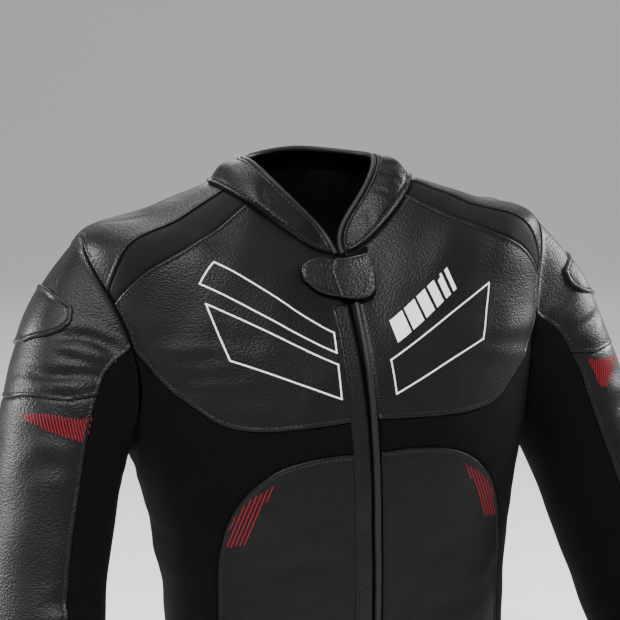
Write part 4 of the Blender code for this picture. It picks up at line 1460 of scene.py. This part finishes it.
# %% Shoulder patches
PATCH_LIFT, PATCH_THICK = 0.15, 1.6
PATCH_ROLL = (0.3, 1.8, 1.2)
PATCH_CROWN, PATCH_CROWN_WIDTH = 0.6, 16
CORNER_STEPS, CORNER_SPACING = 2, 2.0
RUN_SWELL = 0.3


def patch_form(places, away, flat):
    return hump(away, *PATCH_ROLL) + PATCH_CROWN * (1 - hump(away, 1, 0, PATCH_CROWN_WIDTH))


def closed_parts(surface, rows, stitches):
    """A closed outline of straight runs between rows, with its corners rounded a little."""
    corners = np.array(rows, float)
    middle = corners[:, 0].mean()
    flat = surface.flat(corners, middle)
    loop = []
    for start, end in zip(flat, np.roll(flat, -1, axis=0)):
        count = max(2, round(np.linalg.norm(end - start) / CORNER_SPACING))
        share = np.arange(count)[:, None] / count
        out = unit(np.array([end[1] - start[1], start[0] - end[0]]))
        loop.append(start + (end - start) * share + out * RUN_SWELL * np.sin(math.pi * share))
    loop = np.vstack(loop)
    for _ in range(CORNER_STEPS):
        loop = (np.roll(loop, 1, axis=0) + 2 * loop + np.roll(loop, -1, axis=0)) / 4
    line = surface.place(np.vstack([loop, loop[:1]]), middle)
    return ((off_armhole(line), stitches),)


panel("shoulder_patch", SLEEVE, closed_parts(SLEEVE, PATCH, (5,)), PATCH_THICK, GREY_LEATHER,
      "grey_leather", "sleeve", "patch", lift=PATCH_LIFT + PATCH_THICK, spacing=3, extra=patch_form)

# %% [markdown]
# ## The collar
#
# A low stand collar with a padded, rolled foot, a smooth lining and a narrow binding that covers
# its raw top edge and both front corners.

# %% Collar and lining
FOOT_ROLL, FOOT_GROOVE = (1.9, 2.2, 1.5), (0.7, 4.9, 1.2)
FOOT_SHARE = 0.6
COLLAR_CROWN = 0.3
RIM_FADE = 1.6


def collar_form(places, away, flat):
    rise = places[:, 1]
    above = np.where(away > FOOT_SHARE * rise, away, COLLAR_TOP)
    foot = hump(above, *FOOT_ROLL) - hump(above, *FOOT_GROOVE)
    crown = COLLAR_CROWN * np.sin(math.pi * np.clip(rise / COLLAR_TOP, 0, 1)) ** 2
    return (foot + crown) * np.clip(away / RIM_FADE, 0, 1)


def collar_rim():
    corner = seam(COLLAR, COLLAR_CORNER)
    top = level_line(COLLAR, COLLAR_TOP_TURN, 360 - COLLAR_TOP_TURN, COLLAR_TOP)
    return np.vstack([corner, top[1:-1], other_side(corner)[::-1]])


def collar_panels():
    rim = collar_rim()[::-1]
    foot = neck_seam(0, 360, 0.0)
    panel("collar", COLLAR, ((foot, (6.2,)), (rim, (3.4,))), *COWHIDE, "collar", "collar",
          sides=("",), spacing=2.8, extra=collar_form)
    panel("collar_lining", COLLAR, (foot, rim), LINING, LINING_CLOTH, "lining_cloth", sides=("",),
          lift=-LEATHER - SEAM_GAP, spacing=4)


collar_panels()

# %% [markdown]
# A round cord or a rolled edge is a tube along a line. The ring of points at each station is
# turned to stay square to the line, and both ends are closed.

# %% Tubes
TUBE_SIDES = 14


def tube(name, path, out, radius, material):
    """A round tube along a path, with out as the way its first side faces."""
    ahead = unit(np.gradient(path, axis=0))
    side = unit(np.cross(out, ahead))
    out = np.cross(ahead, side)
    angle = np.arange(TUBE_SIDES) * 2 * math.pi / TUBE_SIDES
    rings = path[:, None] + radius * (
        np.cos(angle)[None, :, None] * out[:, None] + np.sin(angle)[None, :, None] * side[:, None]
    )
    points = np.vstack([rings.reshape(-1, 3), path[:1], path[-1:]])
    this, after = np.arange(TUBE_SIDES), (np.arange(TUBE_SIDES) + 1) % TUBE_SIDES
    first, last = (np.full(TUBE_SIDES, len(points) - back) for back in (2, 1))
    end = (len(path) - 1) * TUBE_SIDES
    faces = np.vstack([
        ring_faces(len(path), TUBE_SIDES)[:, ::-1],
        np.column_stack([first, after, this]),
        np.column_stack([last, end + this, end + after]),
    ])
    flat = np.column_stack([np.linspace(0, 1, len(points)), np.zeros((len(points), 2))])
    return add_mesh(name, points, faces, material, [("cloth", flat)])


# %% Binding of the collar
BINDING_RADIUS = 2.6


def collar_binding():
    rim = collar_rim()
    points, normals = COLLAR.points(rim[:, :2]), COLLAR.normal(rim[:, :2])
    ahead = unit(np.gradient(points, axis=0))
    over = -unit(np.cross(ahead, normals))
    middle = (LEATHER + SEAM_GAP + LINING) / 2
    path = points + over * (BINDING_RADIUS + SEAM_GAP) - normals * middle
    # Its leather is painted lighter than the black leather, as the highlight along the roll.
    piece = tube("collar_binding_roll", path, normals, BINDING_RADIUS, PAINTED_HIGHLIGHT_LEATHER)
    return dressed(piece, "binding_leather", "collar_binding")


collar_binding()

# %% [markdown]
# ## The front closure
#
# A zip runs up the middle. On the wearer's right a flat, topstitched strip lies beside it. On the
# left a rolled welt half covers the teeth. The teeth are small moulded blocks from both tapes in
# turn, copied along the zip like the stitches.

# %% Tape, facing and welt
TAPE_SUNK, TAPE_THICK = 1.8, 1.4
FACING_WIDTH, FACING_OVER, STRIP_LIFT, STRIP_THICK = 14.0, 2.4, 0.5, 1.4
OUTER_FALL, OUTER_WIDTH = 1.45, 9
INNER_ROLL = (0.9, -2.4, 2)
WELT_RADIUS, WELT_LIFT = 3.2, 1.6


def strip_parts(left, right, low, high, left_stitches, right_stitches):
    """A band beside the front's middle, between two distances in mm towards the wearer's left."""
    start, finish = zip_line(low, high, right), zip_line(low, high, left)[::-1]
    top, foot = np.vstack([start[-1:], finish[:1]]), np.vstack([finish[-1:], start[:1]])
    return (start, right_stitches), top, (finish, left_stitches), foot


def bead_side(levels):
    """The bead wanders a little: further to the wearer's left at the throat than at the waist."""
    return np.interp(levels, (0, 360, 440, 550), (0.4, 0.6, 2.2, 3.8))


def zip_welt():
    levels = np.linspace(1, STRIP_TOP, round(STRIP_TOP / SEAM_SPACING))
    places = np.column_stack([zip_turn(levels, bead_side(levels)), levels])
    points, normals = skin(TORSO, places, "", "body", WELT_LIFT)
    # The welt is black leather, painted lighter here as the soft highlight along its roll.
    piece = tube("zip_welt_left_roll", points, normals, WELT_RADIUS, PAINTED_HIGHLIGHT_LEATHER)
    return dressed(piece, "black_leather", "zip_welt_left")


def facing_form(places, away, flat):
    """The facing grows out of the front: no step at its outer side, a full roll beside the zip."""
    across = np.radians(places[:, 0])
    side = np.sin(across) * torso_columns(places[:, 1])[:, 1] + ZIP_HALF + FACING_WIDTH
    outer = OUTER_FALL * (1 - np.clip(side / OUTER_WIDTH, 0, 1)) ** 2
    return hump(side - FACING_WIDTH - FACING_OVER, *INNER_ROLL) - outer


panel("zip_tape", TORSO, strip_parts(-ZIP_HALF, ZIP_HALF, 0, TAPE_TOP, (), ()), TAPE_THICK, ZIP_TAPE,
      "zip_tape", "body", sides=("",), lift=-TAPE_SUNK, spacing=4)
panel("zip_facing_right", TORSO,
      strip_parts(-ZIP_HALF - FACING_WIDTH, -ZIP_HALF + FACING_OVER, 0, STRIP_TOP, (3.4,), ()),
      STRIP_THICK, BLACK_LEATHER, "black_leather", "body", "closure", sides=("",),
      lift=STRIP_LIFT + STRIP_THICK, spacing=2.6, extra=facing_form)
zip_welt()

# %% Teeth and slider
TOOTH_PITCH = 2.9
TOOTH_SIZE = (1.5, 4.4, 1.5)
TOOTH_SIDE = 0.7
TOOTH_LIFT = -1.2
SLIDER_LEVEL = 585.0


def block(size, taper=0.7):
    """Points and triangles of a block whose top is smaller than its foot, centred on its foot."""
    corners = np.array([(x, y, z) for z in (0, 1) for y in (-0.5, 0.5) for x in (-0.5, 0.5)], float)
    corners[4:, :2] *= taper
    quads = ((0, 2, 3, 1), (4, 5, 7, 6), (0, 1, 5, 4), (1, 3, 7, 5), (3, 2, 6, 7), (2, 0, 4, 6))
    faces = [t for a, b, c, d in quads for t in ((a, b, c), (a, c, d))]
    return corners * size, np.array(faces)


def zip_teeth():
    levels = np.arange(4.0, TAPE_TOP - 8.0, TOOTH_PITCH / 2)
    side = np.where(np.arange(len(levels)) % 2, TOOTH_SIDE, -TOOTH_SIDE)
    places = np.column_stack([np.degrees(side / torso_columns(levels)[:, 1]), levels])
    points, normals = skin(TORSO, places, "", "body", TOOTH_LIFT - 0.7)
    ahead = unit(np.gradient(points, axis=0) * [0, 1, 1])
    made = copies(*block(np.array(TOOTH_SIZE) * [0.8, 1, 1.2]), points, ahead, normals)
    piece = add_mesh("zip_teeth", *made, ZIP_METAL)
    print("zip teeth:", len(levels))
    return dressed(piece, "zip_metal")


def zip_slider():
    place = np.array([[0.0, SLIDER_LEVEL]])
    point, normal = TORSO.points(place), TORSO.normal(place)
    ahead = unit(TORSO.points(place + [[0, 1]]) - point)
    parts = []
    for size, shift, lift in (((13, 9, 1.2), 0, 0.0), ((11, 7, 1.0), 0, 2.3), ((9, 2.4, 1.6), 0, 1.0)):
        shape, faces = block(np.array(size, float), 0.86)
        start = point + normal * (lift - TAPE_SUNK + SEAM_GAP) + ahead * shift
        parts.append(copies(shape, faces, start, ahead, normal))
    points = np.vstack([part[0] for part in parts])
    faces = np.vstack([part[1] + 8 * number for number, part in enumerate(parts)])
    return dressed(add_mesh("zip_slider_body", points, faces, ZIP_METAL), "zip_metal", "zip_slider")


zip_teeth()
zip_slider()

# %% [markdown]
# The throat tab starts on the wearer's left front, crosses the zip and fastens on the right. Its
# end is a softer, coarsely wrinkled piece that is easy to grip.

# %% Throat tab
TAB_LIFT, TAB_THICK, TAB_OVERLAP = 2.8, 2.4, 1.7
TAB_ROLL = (0.35, 2, 1.6)
WRINKLE_HEIGHT = 0.2


def tab_form(places, away, flat):
    return hump(away, *TAB_ROLL)


def wrinkled_form(places, away, flat):
    """Short ridges that run up the tab and wander, seeded by nothing but their place."""
    x, y = flat.T
    ridges = np.sin(x * 1.5 + 1.4 * np.sin(y * 0.24) + 0.7 * np.sin(y * 0.53 + 1.0))
    return tab_form(places, away, flat) + WRINKLE_HEIGHT * ridges * np.clip(away / 4, 0, 1)


# Both pieces of the tab are painted lighter than the black leather, as the light they catch.
panel("throat_tab", TORSO, closed_parts(TORSO, TAB_BODY, (3.2,)), TAB_OVERLAP - 0.1, TAB_PAINTED_HIGHLIGHT_LEATHER,
      "black_leather", sides=("",), lift=TAB_LIFT + TAB_THICK + TAB_OVERLAP, sewing="closure",
      spacing=2.2, extra=tab_form)
panel("throat_tab_end", TORSO, closed_parts(TORSO, TAB_END, (3.2,)), TAB_THICK, WRINKLED_PAINTED_HIGHLIGHT_LEATHER,
      "black_leather", sides=("",), lift=TAB_LIFT + TAB_THICK, sewing="closure", spacing=1.6,
      extra=wrinkled_form)
panel("throat_underlay", TORSO, closed_parts(TORSO, UNDERLAY, NO_STITCHES), STRIP_THICK, LINING_CLOTH,
      "lining_cloth", sides=("",), lift=STRIP_LIFT + STRIP_THICK, spacing=3.0)
for key in list(stitch_rows):
    make_stitches(key, THREAD)

# %% [markdown]
# ## Prints
#
# The chest carries thin white lines and the arms and the waist small fields of red stripes. A
# print is a very thin film on the leather. Each line is a narrow ribbon on the cloth's own face,
# about a fifth of a millimetre proud, so that it follows every crease below it.
#
# The chest lines are outlined bands that rise outward: two on the wearer's right, one on the left.

# %% Ribbons
PRINT_LIFT = 0.22
PRINT_STEP = 2.5


def ribbon(surface, places, side, creases, width, overrun=0.0, slant=0.0):
    """Points and triangles of a printed line along places, closed all round."""
    points, normals = skin(surface, places, side, creases, PRINT_LIFT)
    ahead = unit(np.gradient(points, axis=0))
    points[0] -= ahead[0] * overrun
    points[-1] += ahead[-1] * overrun
    over = unit(np.cross(normals, ahead))
    shares = np.linspace(-0.5, 0.5, max(2, round(width / PRINT_STEP) + 1))
    top = points[:, None] + (over[:, None] + ahead[:, None] * slant) * shares[:, None] * width
    drop = normals[:, None] * PRINT_LIFT * 2
    rows = np.concatenate([top, (top - drop)[:, ::-1]], axis=1)
    count, half = len(points), len(shares)
    caps = []
    for i in range(half - 1):
        j, end = 2 * half - 1 - i, (count - 1) * 2 * half
        caps += [(i, j, j - 1), (i, j - 1, i + 1)]
        caps += [(end + i, end + j - 1, end + j), (end + i, end + i + 1, end + j - 1)]
    faces = np.vstack([ring_faces(count, 2 * half), caps])
    return rows.reshape(-1, 3), faces


def join_shapes(shapes):
    """One mesh from several (points, triangles)."""
    points, faces, first = [], [], 0
    for shape, triangles in shapes:
        points.append(shape)
        faces.append(triangles + first)
        first += len(shape)
    return np.vstack(points), np.vstack(faces)


# %% Outlined bands on the chest
LINE_WIDTH = 1.5
LOWER_BAND = ((13, 430), (13, 468), (57, 513), (51, 463))
UPPER_BAND = ((13, 482), (13, 507), (56, 553), (58.5, 529))


def fine_line(start, end):
    """Places every PRINT_STEP mm along a straight run on the chest."""
    start, end = np.array([start], float), np.array([end], float)
    length = np.linalg.norm(TORSO.points(end) - TORSO.points(start))
    count = max(2, round(length / PRINT_STEP))
    return start + (end - start) * np.linspace(0, 1, count + 1)[:, None]


def chest_bands(side, *bands):
    """Printed outlines: a ribbon for each side of a band, run on a little past its corners."""
    shapes = [
        ribbon(TORSO, fine_line(start, end), side, "body", LINE_WIDTH, LINE_WIDTH / 2)
        for band in bands for start, end in zip(band, band[1:] + band[:1])
    ]
    piece = add_mesh("chest_lines_" + side, *join_shapes(shapes), WHITE_PRINT)
    return dressed(piece, "black_leather")


chest_bands("right", LOWER_BAND, UPPER_BAND)
chest_bands("left", LOWER_BAND)

# %% [markdown]
# On the wearer's left the upper band is solid: a row of slanting white blocks, each shorter than
# the one before. All are cut from one broad ribbon that runs along the middle of the band.

# %% Slanting blocks
BLOCK_RUNS = (22.0, 17.0, 13.0, 9.5, 6.5, 4.0)
BLOCK_GAP, BLOCK_HEIGHT, BLOCK_SLANT = 3.6, 21.0, 0.35
BLOCKS_START, BLOCKS_END = (17.5, 500.0), (57.0, 541.0)


def slanting_blocks():
    start, end = (TORSO.points(np.array([row]))[0] for row in (BLOCKS_START, BLOCKS_END))
    length = np.linalg.norm(end - start)
    shapes, at = [], 0.0
    for run in BLOCK_RUNS:
        shares = np.linspace(at, at + run, max(3, round(run / PRINT_STEP) + 1)) / length
        places = np.array(BLOCKS_START) + shares[:, None] * np.subtract(BLOCKS_END, BLOCKS_START)
        shapes.append(ribbon(TORSO, places, "left", "body", BLOCK_HEIGHT, slant=BLOCK_SLANT))
        at += run + BLOCK_GAP
    print(f"blocks: {at:.0f} of {length:.0f} mm")
    return dressed(add_mesh("chest_blocks", *join_shapes(shapes), WHITE_PRINT), "black_leather")


slanting_blocks()

# %% [markdown]
# The red fields are plain slanting stripes inside a pointed shape. Each stripe is cut where it
# meets the shape's edge.

# %% Red stripes
STRIPE_WIDTH = 0.95
STRIPE_PITCH = 3.3
STRIPE_STEP = 0.8
SLEEVE_SLANT, WAIST_SLANT = 62, 118
SLEEVE_FIELD_RIGHT = (
    (30, 132), (54, 120), (68, 114), (82, 105), (90, 90), (92, 126), (74, 132), (56, 135), (38, 135),
)
SLEEVE_FIELD_LEFT = ((78, 93), (70, 105), (52, 117), (32, 126), (70, 138), (78, 132))
WAIST_FIELD = ((41, 348), (50, 333), (56, 312), (59, 285), (53, 288), (48, 318), (44, 333))


def striped_field(name, surface, rows, side, creases, slant):
    """Slanting stripes inside a shape, as joined ribbons."""
    rows = np.array(rows, float)
    middle = rows[:, 0].mean()
    loop = surface.flat(rows, middle)
    way = np.array([math.cos(math.radians(slant)), math.sin(math.radians(slant))])
    square = np.array([-way[1], way[0]])
    reach, shares = loop @ square, loop @ way
    line = np.arange(shares.min(), shares.max(), STRIPE_STEP)[:, None]
    shapes = []
    for offset in np.arange(reach.min() + STRIPE_PITCH / 2, reach.max(), STRIPE_PITCH):
        flat = square * offset + way * line
        for run in unbroken(inside(flat, loop)):
            if len(run) > 4:
                places = surface.place(flat[run[::2]], middle)
                shapes.append(ribbon(surface, places, side, creases, STRIPE_WIDTH))
    piece = add_mesh(name, *join_shapes(shapes), RED_PRINT)
    print(name, len(shapes), "stripes")
    return dressed(piece, "black_leather")


for side, field in (("right", SLEEVE_FIELD_RIGHT), ("left", SLEEVE_FIELD_LEFT)):
    striped_field("sleeve_stripes_" + side, SLEEVE, field, side, "sleeve_" + side, SLEEVE_SLANT)
    striped_field("waist_stripes_" + side, TORSO, WAIST_FIELD, side, "body", WAIST_SLANT)

# %% [markdown]
# ## Studio
#
# A plain pale floor and soft light. Large round area lights make the broad, soft highlights that
# show the form of black leather: one high in front, a weaker one at each side of it, one low
# behind each shoulder for the rims, and one above and one behind for the shoulders and the back.
# The last one lights only the wall, so that it stays as pale as the floor.

# %% Floor, world and lights
FLOOR_DROP = 60.0
SWEEP_RADIUS, SWEEP_CURVE, SWEEP_HEIGHT = 5.0, 3.5, 8.0
WORLD_COLOUR, WORLD_STRENGTH = (0.80, 0.81, 0.83), 0.29
LIGHTS = (
    # name x y z side power
    ("key", -0.5, -1.45, 1.75, 0.6, 62.0),
    ("side", -1.5, -1.0, 1.3, 0.8, 20.0),
    ("fill", 1.5, -1.9, 0.5, 1.2, 4.0),
    ("rim_right", -1.8, 0.7, 0.3, 0.5, 56.0),
    ("rim_left", 1.8, 0.3, 0.4, 0.5, 36.0),
    ("top", 0.0, 0.7, 1.7, 0.9, 22.0),
    ("back", 0.9, 2.4, 1.1, 1.4, 22.0),
)
WALL_LIGHT = ("wall", 0.7, 2.4, 1.3, 1.4, 45.0)
JACKET_MIDDLE, WALL_MIDDLE = (0.0, -0.03, -0.15), (2.4, 6.8, 1.3)


def make_floor():
    """A round floor that curves up into a wall far away, so that no corner or horizon shows."""
    low = cad_box[0].z - FLOOR_DROP * MM
    bend = np.radians(np.linspace(0, 90, 13))
    radius = np.concatenate([[0.0, 2.0], SWEEP_RADIUS + SWEEP_CURVE * np.sin(bend)])
    height = np.concatenate([np.zeros(2), SWEEP_CURVE * (1 - np.cos(bend))])
    radius, height = np.append(radius, radius[-1]), np.append(height, SWEEP_HEIGHT)
    turn = np.radians(np.arange(0, 360, 5))
    radius, height = radius[:, None], height[:, None] + 0 * turn
    points = np.stack([radius * np.cos(turn), radius * np.sin(turn), height + low], axis=-1)
    count = len(turn)
    faces = [
        (inner + c, outer + c, outer + (c + 1) % count, inner + (c + 1) % count)
        for inner, outer in ((r * count, (r + 1) * count) for r in range(1, len(radius) - 1))
        for c in range(count)
    ]
    faces.append(tuple(range(count, 2 * count)))
    mesh = bpy.data.meshes.new("floor")
    mesh.from_pydata(points.reshape(-1, 3), [], faces)
    mesh.materials.append(plain("pale_floor", (0.86, 0.86, 0.85), 0.85, grain=8.0, depth=0.05))
    mesh.shade_smooth()
    floor = bpy.data.objects.new("floor", mesh)
    bpy.context.scene.collection.objects.link(floor)
    floor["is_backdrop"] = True


def make_light(name, x, y, z, side, power, target):
    data = bpy.data.lights.new(name, "AREA")
    data.shape = "DISK"
    data.size = side
    data.energy = power
    light = bpy.data.objects.new(name, data)
    light.location = (x, y, z)
    light.visible_camera = False
    light.rotation_mode = "QUATERNION"
    light.rotation_quaternion = (Vector(target) - light.location).to_track_quat("-Z", "Y")
    bpy.context.scene.collection.objects.link(light)


def make_lights():
    for row in LIGHTS:
        make_light(*row, JACKET_MIDDLE)
    make_light(*WALL_LIGHT, WALL_MIDDLE)


def make_world():
    world = bpy.data.worlds.new("studio")
    world.use_nodes = True
    background = world.node_tree.nodes["Background"]
    background.inputs["Color"].default_value = (*WORLD_COLOUR, 1.0)
    background.inputs["Strength"].default_value = WORLD_STRENGTH
    bpy.context.scene.world = world


make_floor()
make_lights()
make_world()

# %% [markdown]
# ## The two boxes
#
# The box of the solid model and the box of the dressed jacket are put side by side.

# %% Count the triangles and put both boxes side by side
bpy.context.view_layer.update()
triangles = sum(len(o.data.polygons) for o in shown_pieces() if o.type == "MESH")
print("triangles shown:", triangles)
boxes = {"cad": cad_box, "visual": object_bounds()}
{name: [list(corner) for corner in box] for name, box in boxes.items()}
